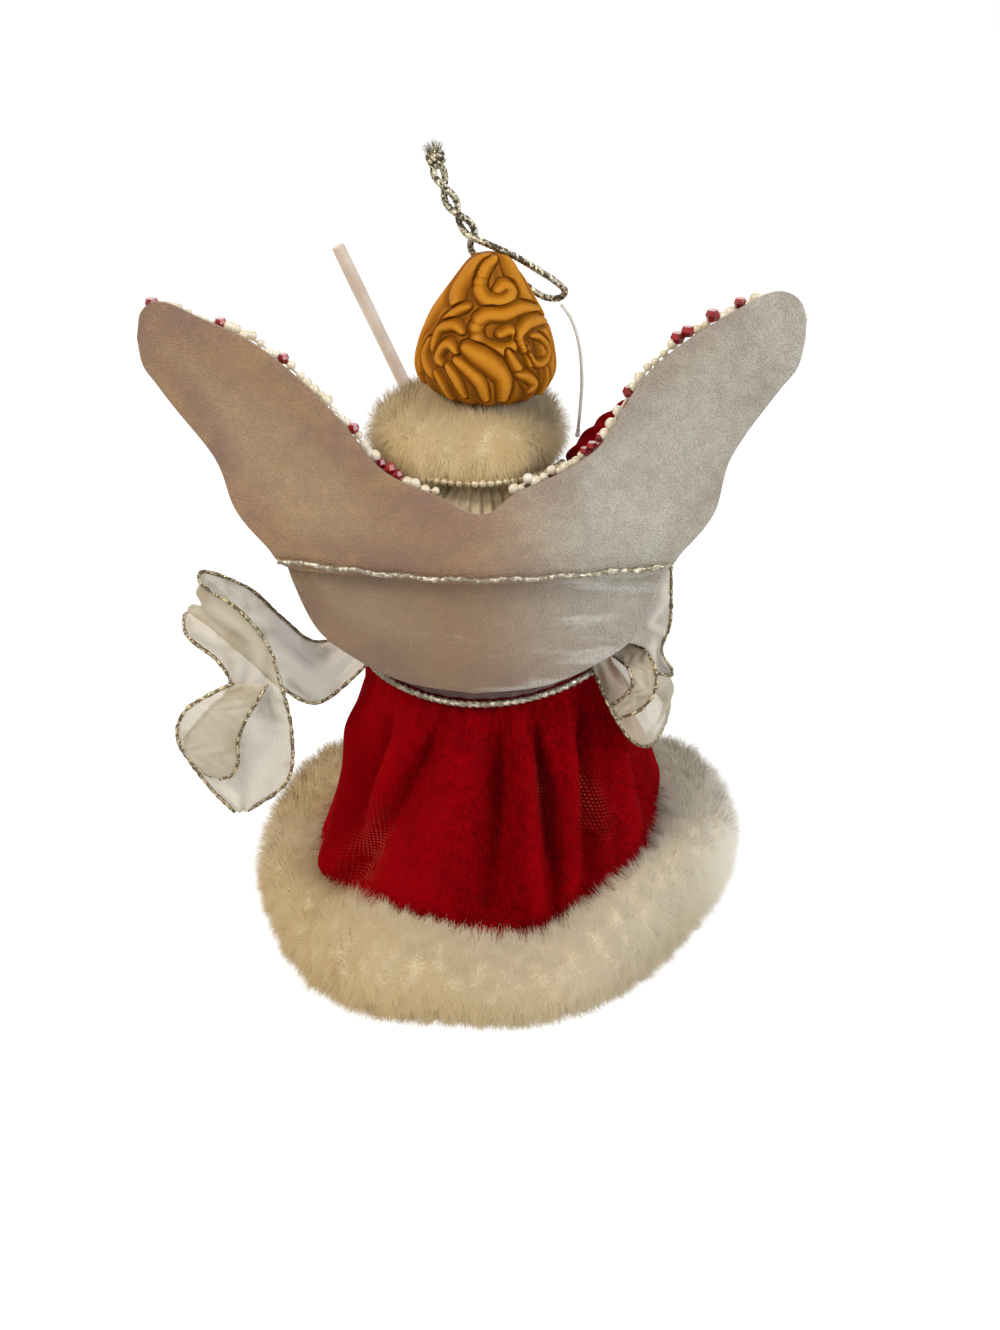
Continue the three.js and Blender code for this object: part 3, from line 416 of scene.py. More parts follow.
@dataclass(frozen=True)
class Pattern:
    """The dress's own sizes, in millimetres and degrees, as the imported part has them."""

    cone_height: float = 120.0
    cone_base: float = 40.0
    cone_top: float = 5.2
    skirt_top: float = 77.0
    skirt_hem: float = 2.0
    skirt_ease: float = 3.4
    skirt_flare: float = 7.6
    waist_gather: float = 5.5
    gather_spread: float = 22.0
    hem_height: float = 21.0
    hem_rise: float = 4.0
    hem_dip: float = 5.4
    hem_dip_turn: float = 100.0
    hem_dip_width: float = 27.0
    hem_oval: float = 0.022
    hem_oval_turn: float = 14.0
    sash_bottom: float = 68.0
    sash_width: float = 6.5
    sash_rise: float = 2.9
    sash_thickness: float = 0.7
    shoulder_height: float = 112.0
    shoulder_half_width: float = 20.0
    wing_facing: float = 0.7
    wing_curve: float = 7.0
    wing_curve_width: float = 35.0
    head_lean: float = 5.0
    gap: float = 0.3

    def cone_radius(self, height: np.ndarray) -> np.ndarray:
        """Outside of the card cone at a height."""
        return mix(self.cone_base, self.cone_top, height / self.cone_height)

    def skirt_radius(self, height: np.ndarray, angle: np.ndarray) -> np.ndarray:
        """Skirt without folds: an oval that is gathered out at the waist and flares to the hem.

        Args:
            height: heights above the floor.
            angle: directions round the axis, in radians from +X.

        Returns:
            Distances from the axis.
        """
        fall = np.clip((self.skirt_top - height) / (self.skirt_top - self.skirt_hem), 0.0, 1.0)
        spread = 0.5 * (fall + ease(0.0, 1.0, fall))
        waist = self.cone_radius(self.skirt_top) + self.skirt_ease
        depth = mix(waist, self.cone_base + self.skirt_flare, spread)
        width = depth + self.waist_gather * bell(height - self.sash_bottom, self.gather_spread)
        oval = 1.0 + self.hem_oval * spread * np.cos(2.0 * (angle - np.radians(self.hem_oval_turn)))
        return oval / np.hypot(np.cos(angle) / width, np.sin(angle) / depth)

    def hem_top(self, angle: np.ndarray) -> np.ndarray:
        """Height of the fur band's top, which rises to the angel's right and dips at the back."""
        dip = self.hem_dip * bell(turn_from(angle, self.hem_dip_turn), np.radians(self.hem_dip_width))
        return self.hem_height - self.hem_rise * np.cos(angle) - dip

    def sash_radius(self, height: np.ndarray, angle: np.ndarray) -> np.ndarray:
        """Inside of the sash, a gap away from the skirt."""
        return self.skirt_radius(height, angle) + self.gap

    def sash_edge(self, angle: np.ndarray) -> np.ndarray:
        """Height of the sash's lower edge, which rises to both sides."""
        return self.sash_bottom + self.sash_rise * np.cos(angle) ** 2

    def wing_depth(self, across: np.ndarray) -> np.ndarray:
        """Front of the wing felt: against the sash in the middle, curving forward to the sides."""
        sash = self.sash_radius(self.sash_bottom, np.pi / 2) + self.sash_thickness
        middle = sash + self.gap + self.wing_facing
        return middle - self.wing_curve * (1.0 - bell(across, self.wing_curve_width))


PATTERN = Pattern()


def around(radius: np.ndarray, angle: np.ndarray, height: np.ndarray) -> np.ndarray:
    """Points at a distance from the axis, a direction and a height."""
    return stack(radius * np.cos(angle), radius * np.sin(angle), height)


def in_head(points: np.ndarray) -> np.ndarray:
    """Points of the head's own frame, which stands on the cone and leans to the angel's right."""
    lean = np.radians(PATTERN.head_lean)
    x, y, z = np.moveaxis(points, -1, 0)
    return stack(
        x * np.cos(lean) - z * np.sin(lean), y, x * np.sin(lean) + z * np.cos(lean) + PATTERN.cone_height
    )


# Finishes


def srgb(code: str) -> tuple[float, float, float, float]:
    """A colour code such as #a0b1c2 as linear red, green, blue and alpha."""
    shown = np.array([int(code[k : k + 2], 16) for k in (1, 3, 5)]) / 255.0
    linear = np.where(shown <= 0.04045, shown / 12.92, ((shown + 0.055) / 1.055) ** 2.4)
    return (*linear.tolist(), 1.0)


class Graph:
    """Places nodes in one tree and links them."""

    def __init__(self, tree: bpy.types.NodeTree) -> None:
        """Starts on an empty tree."""
        self.tree = tree
        tree.nodes.clear()

    def add(self, kind: str, inputs: dict | None = None, **settings: object) -> bpy.types.Node:
        """Adds a node.

        Args:
            kind: its type.
            inputs: sockets by name or number, each a socket to link or a value to set.
            settings: properties of the node.

        Returns:
            The node.
        """
        node = self.tree.nodes.new(kind)
        for key, value in settings.items():
            setattr(node, key, value)
        for key, value in (inputs or {}).items():
            if isinstance(value, bpy.types.NodeSocket):
                self.tree.links.new(value, node.inputs[key])
            else:
                node.inputs[key].default_value = value
        return node

    def math(self, operation: str, a: object, b: object = 0.0) -> Socket:
        """One sum of two values."""
        return self.add("ShaderNodeMath", {0: a, 1: b}, operation=operation).outputs[0]

    def blend(self, share: object, a: object, b: object) -> Socket:
        """A blend of two colours."""
        return self.add("ShaderNodeMix", {0: share, 6: a, 7: b}, data_type="RGBA").outputs[2]

    def lay(self, base: object, code: str, share: object, amount: float = 1.0) -> Socket:
        """A colour laid over another by a share, times an amount."""
        share = share if amount == 1.0 else self.math("MULTIPLY", share, amount)
        return self.blend(share, base, srgb(code))

    def axis(self, where: object, name: str) -> Socket:
        """One coordinate of a place: X, Y or Z."""
        return self.add("ShaderNodeSeparateXYZ", {0: where}).outputs[name]

    def spread(self, value: object, low: object, high: object, to: tuple = (0.0, 1.0)) -> Socket:
        """A value brought smoothly from one range to another."""
        inputs = {0: value, 1: low, 2: high, 3: to[0], 4: to[1]}
        return self.add("ShaderNodeMapRange", inputs, interpolation_type="SMOOTHSTEP").outputs[0]

    def place(self, output: str = "Object") -> Socket:
        """A texture coordinate of the piece: Object or UV."""
        return self.add("ShaderNodeTexCoord").outputs[output]

    def attribute(self, name: str) -> Socket:
        """A named number that the mesh carries."""
        return self.add("ShaderNodeAttribute", attribute_name=name).outputs["Fac"]

    def bump(self, height: object, distance: float, strength: float = 1.0) -> Socket:
        """A bump normal from a height, in metres of depth."""
        inputs = {"Strength": strength, "Distance": distance, "Height": height}
        return self.add("ShaderNodeBump", inputs).outputs[0]

    def group(self, tree: bpy.types.NodeTree, inputs: dict) -> bpy.types.Node:
        """A shared group, placed here with its own values."""
        return self.add("ShaderNodeGroup", inputs, node_tree=tree)

    def finish(self, inputs: dict) -> None:
        """The Principled shader and the material's output."""
        shader = self.add("ShaderNodeBsdfPrincipled", inputs)
        self.add("ShaderNodeOutputMaterial", {"Surface": shader.outputs[0]})


class Effects:
    """Shader groups that several finishes share, each built once."""

    def __init__(self) -> None:
        """Builds the groups."""
        self.fibre = self._fibre()
        self.blotch = self._blotch()
        self.glitter = self._glitter()
        self.weave = self._weave()

    @staticmethod
    def _start(name: str, inputs: tuple, outputs: tuple) -> tuple[Graph, bpy.types.bpy_prop_collection]:
        """A new group whose sockets are numbers, apart from its first input, Vector.

        Args:
            name: name of the group.
            inputs: labels of its other inputs.
            outputs: labels of its outputs.

        Returns:
            Its graph, and the sockets of its inputs by label.
        """
        tree = bpy.data.node_groups.new(name, "ShaderNodeTree")
        tree.interface.new_socket(name="Vector", in_out="INPUT", socket_type="NodeSocketVector")
        for way, labels in (("INPUT", inputs), ("OUTPUT", outputs)):
            for label in labels:
                tree.interface.new_socket(name=label, in_out=way, socket_type="NodeSocketFloat")
        graph = Graph(tree)
        return graph, graph.add("NodeGroupInput").outputs

    def _fibre(self) -> bpy.types.NodeTree:
        """Fine matted fibres: two noises, one eight times finer than the other."""
        graph, given = self._start("matted_fibre", ("Scale",), ("Shade", "Height"))
        where, scale = given["Vector"], given["Scale"]
        coarse = graph.add("ShaderNodeTexNoise", {"Vector": where, "Scale": scale, "Detail": 3.0})
        fine_scale = graph.math("MULTIPLY", scale, 8.0)
        fine = graph.add("ShaderNodeTexNoise", {"Vector": where, "Scale": fine_scale, "Detail": 2.0})
        height = graph.math("ADD", graph.math("MULTIPLY", coarse.outputs[0], 0.6), fine.outputs[0])
        graph.add("NodeGroupOutput", {"Shade": graph.spread(height, 0.5, 1.1), "Height": height})
        return graph.tree

    def _blotch(self) -> bpy.types.NodeTree:
        """Soft stains: one wide noise cut between two levels."""
        graph, given = self._start("soft_blotch", ("Scale", "Low", "High"), ("Mask",))
        inputs = {"Vector": given["Vector"], "Scale": given["Scale"], "Detail": 4.0, "Roughness": 0.6}
        noise = graph.add("ShaderNodeTexNoise", inputs).outputs[0]
        graph.add("NodeGroupOutput", {"Mask": graph.spread(noise, given["Low"], given["High"])})
        return graph.tree

    def _glitter(self) -> bpy.types.NodeTree:
        """Flecks: cells that shine where their random number passes the share."""
        graph, given = self._start("glitter_fleck", ("Scale", "Share"), ("Mask",))
        cells = graph.add("ShaderNodeTexVoronoi", {"Vector": given["Vector"], "Scale": given["Scale"]})
        lot = graph.add("ShaderNodeSeparateColor", {0: cells.outputs["Color"]}).outputs[0]
        graph.add("NodeGroupOutput", {"Mask": graph.math("LESS_THAN", lot, given["Share"])})
        return graph.tree

    def _weave(self) -> bpy.types.NodeTree:
        """Crossed threads: two sets of sine ridges over the surface's own U and V."""
        graph, given = self._start("crossed_threads", ("Across", "Along"), ("Height", "Dots"))
        waves = []
        for axis, count in (("X", "Across"), ("Y", "Along")):
            cycle = graph.math("MULTIPLY", graph.axis(given["Vector"], axis), given[count])
            wave = graph.math("SINE", graph.math("MULTIPLY", cycle, TURN))
            waves.append(graph.spread(wave, -0.6, 0.9))
        ends = {"Height": graph.math("MAXIMUM", *waves), "Dots": graph.math("MULTIPLY", *waves)}
        graph.add("NodeGroupOutput", ends)
        return graph.tree


class Finish:
    """A named material that is built when it is first asked for."""

    name = "finish"

    def __init__(self, effects: Effects) -> None:
        """Keeps the shared groups at hand."""
        self.effects = effects
        self._made: bpy.types.Material | None = None

    def material(self) -> bpy.types.Material:
        """The material."""
        if self._made is None:
            self._made = bpy.data.materials.new(self.name)
            self._made.use_nodes = True
            self.dress(Graph(self._made.node_tree))
        return self._made

    def dress(self, graph: Graph) -> None:
        """Fills the material's node tree."""
        raise NotImplementedError

    def cloud(self, graph: Graph, where: object, scale: float, low: float, high: float) -> Socket:
        """Soft stains over a place: 1 inside them and 0 between them."""
        inputs = {"Vector": where, "Scale": scale, "Low": low, "High": high}
        return graph.group(self.effects.blotch, inputs).outputs["Mask"]

    def fibre(self, graph: Graph, where: object, scale: float) -> tuple[Socket, Socket]:
        """Shade and height of matted fibres over a place."""
        node = graph.group(self.effects.fibre, {"Vector": where, "Scale": scale})
        return node.outputs["Shade"], node.outputs["Height"]

    def weave(self, graph: Graph, across: float, along: float) -> bpy.types.Node:
        """Crossed threads over the piece's UV."""
        inputs = {"Vector": graph.place("UV"), "Across": across, "Along": along}
        return graph.group(self.effects.weave, inputs)


class Plush(Finish):
    """Cream fur: strands that are darker at the root, with pale patches, painted warm light on the angel's left and on
    the collar, painted cool light on its right, painted shade near the floor and painted light on the far right.
    """

    name = "cream_plush"

    def dress(self, graph: Graph) -> None:
        """Colour goes from root to tip along V, is varied by strand along U, and by place, where light and shade are
        painted in.
        """
        where, strand = graph.place(), graph.place("UV")
        x, z = graph.axis(where, "X"), graph.axis(where, "Z")
        # Share of the painted warm light: the angel's left (+X) and the collar on top are tinted warm, its right cool
        side = graph.math("MAXIMUM", graph.spread(x, -0.05, 0.05), graph.spread(z, 0.08, 0.1))
        tip = graph.blend(side, srgb("#c6c0b2"), srgb("#cab487"))
        tip = graph.lay(tip, "#e2d8c2", self.cloud(graph, where, 38.0, 0.42, 0.66), 0.5)
        tip = graph.lay(tip, "#bfa97c", graph.spread(graph.axis(strand, "X"), 0.0, 1.0, (0.0, 0.42)))
        root = graph.blend(side, srgb("#c9c0ad"), srgb("#cab489"))
        color = graph.blend(graph.spread(graph.axis(strand, "Y"), 0.0, 0.85), root, tip)
        # Painted shade: the fur is darker towards the floor
        color = graph.lay(color, "#b8a274", graph.spread(z, 0.0, 0.02, (0.5, 0.0)))
        # Painted light: the far right of the fur is lifted towards white
        color = graph.lay(color, "#fbf7ee", graph.spread(x, -0.066, -0.046, (0.7, 0.0)))
        # Strands let most of the light through to those below them
        shadow = graph.add("ShaderNodeLightPath").outputs["Is Shadow Ray"]
        graph.finish({
            "Base Color": color, "Roughness": 0.85, "Alpha": graph.spread(shadow, 0.0, 1.0, (1.0, 0.12)),
            "Sheen Weight": 0.6, "Sheen Roughness": 0.4, "Sheen Tint": srgb("#fff6e6"),
        })


class PlushBacking(Finish):
    """Knitted backing under the fur, seen only between strands."""

    name = "plush_backing"

    def dress(self, graph: Graph) -> None:
        """Matted wool colour with a fine bump."""
        shade, height = self.fibre(graph, graph.place(), 260.0)
        color = graph.blend(shade, srgb("#e2d0ac"), srgb("#efe2c8"))
        graph.finish({"Base Color": color, "Roughness": 0.95, "Normal": graph.bump(height, 0.0006)})


class Velvet(Finish):
    """Deep red velvet: a nap with sheen, worn spots where the ground weave shows, painted shade in its fold valleys and
    painted light on its fold crests, its left side and the sleeves.
    """

    name = "red_velvet"

    def dress(self, graph: Graph) -> None:
        """Nap shade from fibres and strokes; the painted fold shade and light and the worn spots come from the piece's
        attributes.
        """
        where = graph.place()
        shade, height = self.fibre(graph, where, 420.0)
        drawn = graph.add("ShaderNodeMapping", {"Vector": where, "Scale": (1.0, 1.0, 0.22)}).outputs[0]
        stroke, _ = self.fibre(graph, drawn, 240.0)
        pile = graph.blend(graph.spread(shade, 0.2, 0.8), srgb("#600005"), srgb("#86000a"))
        pile = graph.lay(pile, "#a4000a", graph.spread(stroke, 0.35, 0.75, (0.0, 0.5)))
        pile = graph.lay(pile, "#6e0005", self.cloud(graph, where, 60.0, 0.38, 0.66), 0.4)
        # Painted light: the angel's left side (+X) is lit brighter
        pile = graph.lay(pile, "#b2000d", graph.spread(graph.axis(where, "X"), 0.0, 0.035, (0.0, 0.6)))
        # Painted highlight on the fold crests, and painted light over whole sleeves
        pile = graph.lay(pile, "#aa000a", graph.attribute("crest"), 0.3)
        # Painted shade in the fold valleys
        pile = graph.lay(pile, "#560004", graph.attribute("painted_valley_shade"), 0.1)
        dots = self.weave(graph, 330.0, 190.0).outputs["Dots"]
        shown = graph.math("MULTIPLY", graph.attribute("worn"), dots)
        shown = graph.math("MULTIPLY", shown, self.cloud(graph, where, 300.0, 0.3, 0.6))
        graph.finish({
            "Base Color": graph.lay(pile, "#d5694f", shown), "Roughness": 0.8,
            "Normal": graph.bump(height, 0.0006, 0.8), "Specular IOR Level": 0.02,
            "Sheen Weight": 0.06, "Sheen Roughness": 0.4, "Sheen Tint": srgb("#ff0508"),
        })


class WingFelt(Finish):
    """Off-white felt: painted warm light at the angel's left and painted cool light at its right, with mauve stains
    near the edges.
    """

    name = "wing_felt"
    warm, cool, stain, light = "#b38e6a", "#c9c5b9", "#93716a", "#c2aa8c"
    roughness = 0.9
    painted_sheen = 0.0

    def dress(self, graph: Graph) -> None:
        """Colour runs across the span as painted warm and cool light, with a painted lighter middle on the left wing,
        under two sizes of stain, streaks of painted sheen and matted fibres.
        """
        where = graph.place()
        across, rim = graph.axis(where, "X"), graph.attribute("edge")
        # Painted light: a warm tint on the angel's left (+X) and a cool one on its right, as the lamps fall
        base = graph.blend(graph.spread(across, -0.032, 0.004), srgb(self.cool), srgb(self.warm))
        base = graph.lay(base, self.light, self.cloud(graph, where, 22.0, 0.5, 0.75), 0.4)
        # Painted light: the middle of the left wing, away from its rim, is lifted lighter
        inner = graph.spread(rim, 0.8, 0.1, (0.0, 0.35))
        base = graph.lay(base, self.light, graph.math("MULTIPLY", inner, graph.spread(across, 0.0, 0.03)))
        edge = graph.math("MULTIPLY", rim, self.cloud(graph, where, 42.0, 0.4, 0.62))
        stained = graph.spread(across, -0.02, 0.02, (0.35, 0.75))
        base = graph.lay(base, self.stain, graph.math("MULTIPLY", edge, stained))
        base = graph.lay(base, self.stain, self.cloud(graph, where, 95.0, 0.5, 0.75), 0.2)
        # Painted sheen: pale gloss streaks laid into the colour, towards the angel's right
        turned = {"Vector": where, "Rotation": (0.0, 0.5, 0.0), "Scale": (0.3, 1.0, 2.0)}
        gloss = self.cloud(graph, graph.add("ShaderNodeMapping", turned).outputs[0], 95.0, 0.5, 0.66)
        shine = graph.spread(across, 0.03, -0.025, (0.0, self.painted_sheen))
        base = graph.lay(base, "#e8e6e0", graph.math("MULTIPLY", gloss, shine))
        shade, height = self.fibre(graph, where, 330.0)
        graph.finish({
            "Base Color": graph.lay(base, "#7d7263", graph.spread(shade, 0.0, 1.0, (0.36, 0.0))),
            "Roughness": self.roughness, "Normal": graph.bump(height, 0.0008, 0.9),
            "Sheen Weight": 0.3, "Sheen Roughness": 0.4, "Specular IOR Level": 0.3,
        })


class SatinFelt(WingFelt):
    """The lower panel: the same felt under a thin painted shimmer of pale streaks."""

    name = "satin_felt"
    warm, cool, stain, light = "#a18264", "#bdb6aa", "#86695f", "#bba88e"
    roughness = 0.62
    painted_sheen = 0.6


class FacingCloth(WingFelt):
    """The whitish front of the wings."""

    name = "wing_facing_cloth"
    warm, cool, stain, light = "#e2dccd", "#dfddd6", "#c3b6a8", "#f1ede4"
    roughness = 0.7


class Organza(Finish):
    """Sheer wired ribbon: see-through crossed threads with creases."""

    name = "organza"
    tint, crease, body = "#cec3ad", "#b4a78e", (0.5, 0.64)

    def dress(self, graph: Graph) -> None:
        """Cover grows on the threads and in soft creases."""
        crease = self.cloud(graph, graph.place(), 120.0, 0.45, 0.7)
        threads = self.weave(graph, 60.0, 240.0).outputs["Height"]
        cover = graph.spread(crease, 0.0, 1.0, self.body)
        graph.finish({
            "Base Color": graph.blend(crease, srgb(self.tint), srgb(self.crease)), "Roughness": 0.42,
            "Alpha": graph.math("ADD", cover, graph.spread(threads, 0.0, 1.0, (-0.05, 0.07))),
            "Normal": graph.bump(crease, 0.0006, 0.4), "Sheen Weight": 0.12, "Sheen Roughness": 0.3,
        })


class SheerMauve(Organza):
    """The sash: a closer mauve sheer."""

    name = "sheer_mauve"
    tint, crease, body = "#6f4f4c", "#4a3431", (0.86, 0.98)


class SheerTaupe(Organza):
    """The pleated yoke between collar and wings."""

    name = "sheer_taupe"
    tint, crease, body = "#dac7a6", "#bca888", (0.95, 0.99)


class SilverBraid(Finish):
    """Metallic braid: bright and dark flecks that run with its plait."""

    name = "silver_braid"
    bright, dark, share, scale = "#e6dcc0", "#4f4638", 0.6, 1500.0

    def dress(self, graph: Graph) -> None:
        """Flecks pick between a dark and a bright metal, and clouds dull the bright one."""
        where = graph.place()
        flecks = {"Vector": where, "Scale": self.scale, "Share": self.share}
        fleck = graph.group(self.effects.glitter, flecks).outputs["Mask"]
        tone = self.cloud(graph, where, 700.0, 0.35, 0.65)
        metal = graph.blend(tone, srgb("#8f8877"), srgb(self.bright))
        graph.finish({
            "Base Color": graph.blend(fleck, srgb(self.dark), metal), "Metallic": 0.75,
            "Roughness": graph.spread(fleck, 0.0, 1.0, (0.55, 0.28)), "Normal": graph.bump(tone, 0.0003, 0.6),
        })


class GlitterCord(SilverBraid):
    """Silver cord of the seam and the sash."""

    name = "glitter_cord"
    bright, dark, share, scale = "#d6cdbd", "#8d8272", 0.55, 1300.0


class GlitterEdge(SilverBraid):
    """Wired ribbon edge: dark bronze with gold and silver flecks."""

    name = "glitter_edge"
    bright, dark, share, scale = "#cdbb94", "#6a5b45", 0.5, 1900.0


class HairResin(Finish):
    """Painted resin hair: amber on the locks, with painted shade in brown down into the grooves and a painted highlight
    on the lock tops.
    """

    name = "hair_resin"

    def dress(self, graph: Graph) -> None:
        """Colour follows the carved relief as painted shade in the grooves and a painted highlight on the lock tops,
        with a little wear and grain.
        """
        where, relief = graph.place(), graph.attribute("relief")
        shade, height = self.fibre(graph, where, 300.0)
        lock = graph.blend(self.cloud(graph, where, 70.0, 0.35, 0.7), srgb("#9a5a00"), srgb("#ac6a06"))
        # Painted highlight on the tops of the locks
        lock = graph.lay(lock, "#c98420", graph.spread(relief, 0.7, 1.0))
        # Painted shade: darker brown down the sides of each lock into its grooves
        color = graph.blend(graph.spread(relief, 0.05, 0.8), srgb("#5c3200"), lock)
        graph.finish({
            "Base Color": graph.lay(color, "#7c4a0c", graph.spread(shade, 0.0, 1.0, (0.16, 0.0))),
            "Roughness": graph.spread(shade, 0.0, 1.0, (0.7, 0.55)),
            "Normal": graph.bump(height, 0.0002, 0.5), "Specular IOR Level": 0.12,
        })


class FaceResin(Finish):
    """Painted face and hands: warm skin with rosy cheeks, lips and fine dark lines."""

    name = "face_resin"

    def dress(self, graph: Graph) -> None:
        """Paint is laid by the piece's own attributes over a clouded skin tone."""
        cloud = self.cloud(graph, graph.place(), 160.0, 0.35, 0.7)
        skin = graph.blend(cloud, srgb("#e7bd9c"), srgb("#efcbae"))
        skin = graph.lay(skin, "#d98a78", graph.attribute("blush"), 0.5)
        skin = graph.lay(skin, "#b8534a", graph.attribute("lips"))
        skin = graph.lay(skin, "#4a2c18", graph.attribute("lines"))
        rough = graph.spread(cloud, 0.0, 1.0, (0.5, 0.4))
        graph.finish({"Base Color": skin, "Roughness": rough, "Coat Weight": 0.1, "Coat Roughness": 0.3})


class Card(Finish):
    """Kraft card of the cone, with flecks and stains."""

    name = "kraft_card"

    def dress(self, graph: Graph) -> None:
        """Brown card with fibre flecks."""
        where = graph.place()
        shade, height = self.fibre(graph, where, 200.0)
        color = graph.blend(self.cloud(graph, where, 25.0, 0.35, 0.7), srgb("#a98a5c"), srgb("#bda074"))
        color = graph.lay(color, "#7d6038", graph.spread(shade, 0.0, 1.0, (0.3, 0.0)))
        graph.finish({"Base Color": color, "Roughness": 0.9, "Normal": graph.bump(height, 0.0003, 0.5)})


class TurnedWood(Finish):
    """Pale wood of the neck plug, with its grain upright."""

    name = "turned_wood"

    def dress(self, graph: Graph) -> None:
        """Stretched grain between two browns."""
        stretch = {"Vector": graph.place(), "Scale": (1.0, 1.0, 0.15)}
        shade, height = self.fibre(graph, graph.add("ShaderNodeMapping", stretch).outputs[0], 320.0)
        color = graph.blend(shade, srgb("#a5804f"), srgb("#cfae7e"))
        graph.finish({"Base Color": color, "Roughness": 0.6, "Normal": graph.bump(height, 0.0002, 0.5)})


class Clouded(Finish):
    """A plain finish: two colours in soft clouds, and a roughness that follows them where a pair is given."""

    dark, light = "#808080", "#c0c0c0"
    scale, low, high = 300.0, 0.35, 0.65
    rough: tuple = ()
    extra: dict = {}

    def dress(self, graph: Graph) -> None:
        """Colour and roughness from one cloud."""
        cloud = self.cloud(graph, graph.place(), self.scale, self.low, self.high)
        color = graph.blend(cloud, srgb(self.dark), srgb(self.light))
        looks = {"Base Color": color, **self.extra}
        if self.rough:
            looks["Roughness"] = graph.spread(cloud, 0.0, 1.0, self.rough)
        graph.finish(looks)


class Pearl(Clouded):
    """Cream pearl beads: a soft glow under a clear coat."""

    name = "pearl"
    dark, light, scale, rough = "#e2d3b4", "#f4ecda", 240.0, (0.22, 0.32)
    extra = {"Coat Weight": 0.6, "Coat Roughness": 0.12, "Sheen Weight": 0.15}


class Garnet(Clouded):
    """Dark red cut beads under a hard gloss."""

    name = "garnet_bead"
    dark, light, scale, rough = "#70040a", "#ac0b16", 500.0, (0.2, 0.35)
    extra = {"Coat Weight": 0.2, "Coat Roughness": 0.15}


class GoldBead(Clouded):
    """Small brassy beads under the collar."""

    name = "gold_bead"
    dark, light, scale, rough = "#a8946e", "#ecdfc2", 420.0, (0.4, 0.22)
    extra = {"Metallic": 0.3}


class CandleWax(Clouded):
    """Ivory candle with a faint pink cast and soft handling marks."""

    name = "candle_ivory"
    dark, light, scale, high, rough = "#d8c6b6", "#e9dccf", 130.0, 0.7, (0.55, 0.42)
    extra = {"Specular IOR Level": 0.4}


class Nylon(Clouded):
    """Pale clear thread with a glossy coat."""

    name = "nylon_thread"
    dark, light, low, high, rough = "#e2e2da", "#f4f4f0", 0.3, 0.7, ()
    extra = {"Roughness": 0.3, "Coat Weight": 0.4, "Alpha": 0.7}


class SteelWire(Clouded):
    """Drawn steel wire with dull spots."""

    name = "steel_wire"
    dark, light, low, high, rough = "#a9aaa8", "#77756f", 0.4, 0.7, (0.3, 0.5)
    extra = {"Metallic": 1.0}


class Wardrobe:
    """All the finishes, by class."""

    def __init__(self) -> None:
        """Builds the shared groups."""
        self.effects = Effects()
        self._kept: dict[type[Finish], Finish] = {}

    def of(self, kind: type[Finish]) -> bpy.types.Material:
        """The material of a finish."""
        if kind not in self._kept:
            self._kept[kind] = kind(self.effects)
        return self._kept[kind].material()


@dataclass
class Workshop:
    """Hands finished pieces to the frame."""

    wardrobe: Wardrobe
    nodes: dict

    def place(
        self,
        piece: bpy.types.Object,
        body: Body,
        finish: type[Finish],
        slot: str,
        nodes: tuple[str, ...],
    ) -> bpy.types.Object:
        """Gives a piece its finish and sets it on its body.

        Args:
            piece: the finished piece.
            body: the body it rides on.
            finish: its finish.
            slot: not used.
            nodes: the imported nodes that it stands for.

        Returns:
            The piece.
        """
        piece.data.materials.append(self.wardrobe.of(finish))
        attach(piece, body.value)
        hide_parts(*nodes)
        LOG.info("%s: %d faces, rides on %s", piece.name, len(piece.data.polygons), body.value)
        return piece

    def keep(self, node: str, finish: type[Finish]) -> None:
        """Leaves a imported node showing, in a finish of its own."""
        mesh = self.nodes[node].data
        mesh.materials.clear()
        mesh.materials.append(self.wardrobe.of(finish))
        LOG.info("%s: kept as packed", node)


# Fur


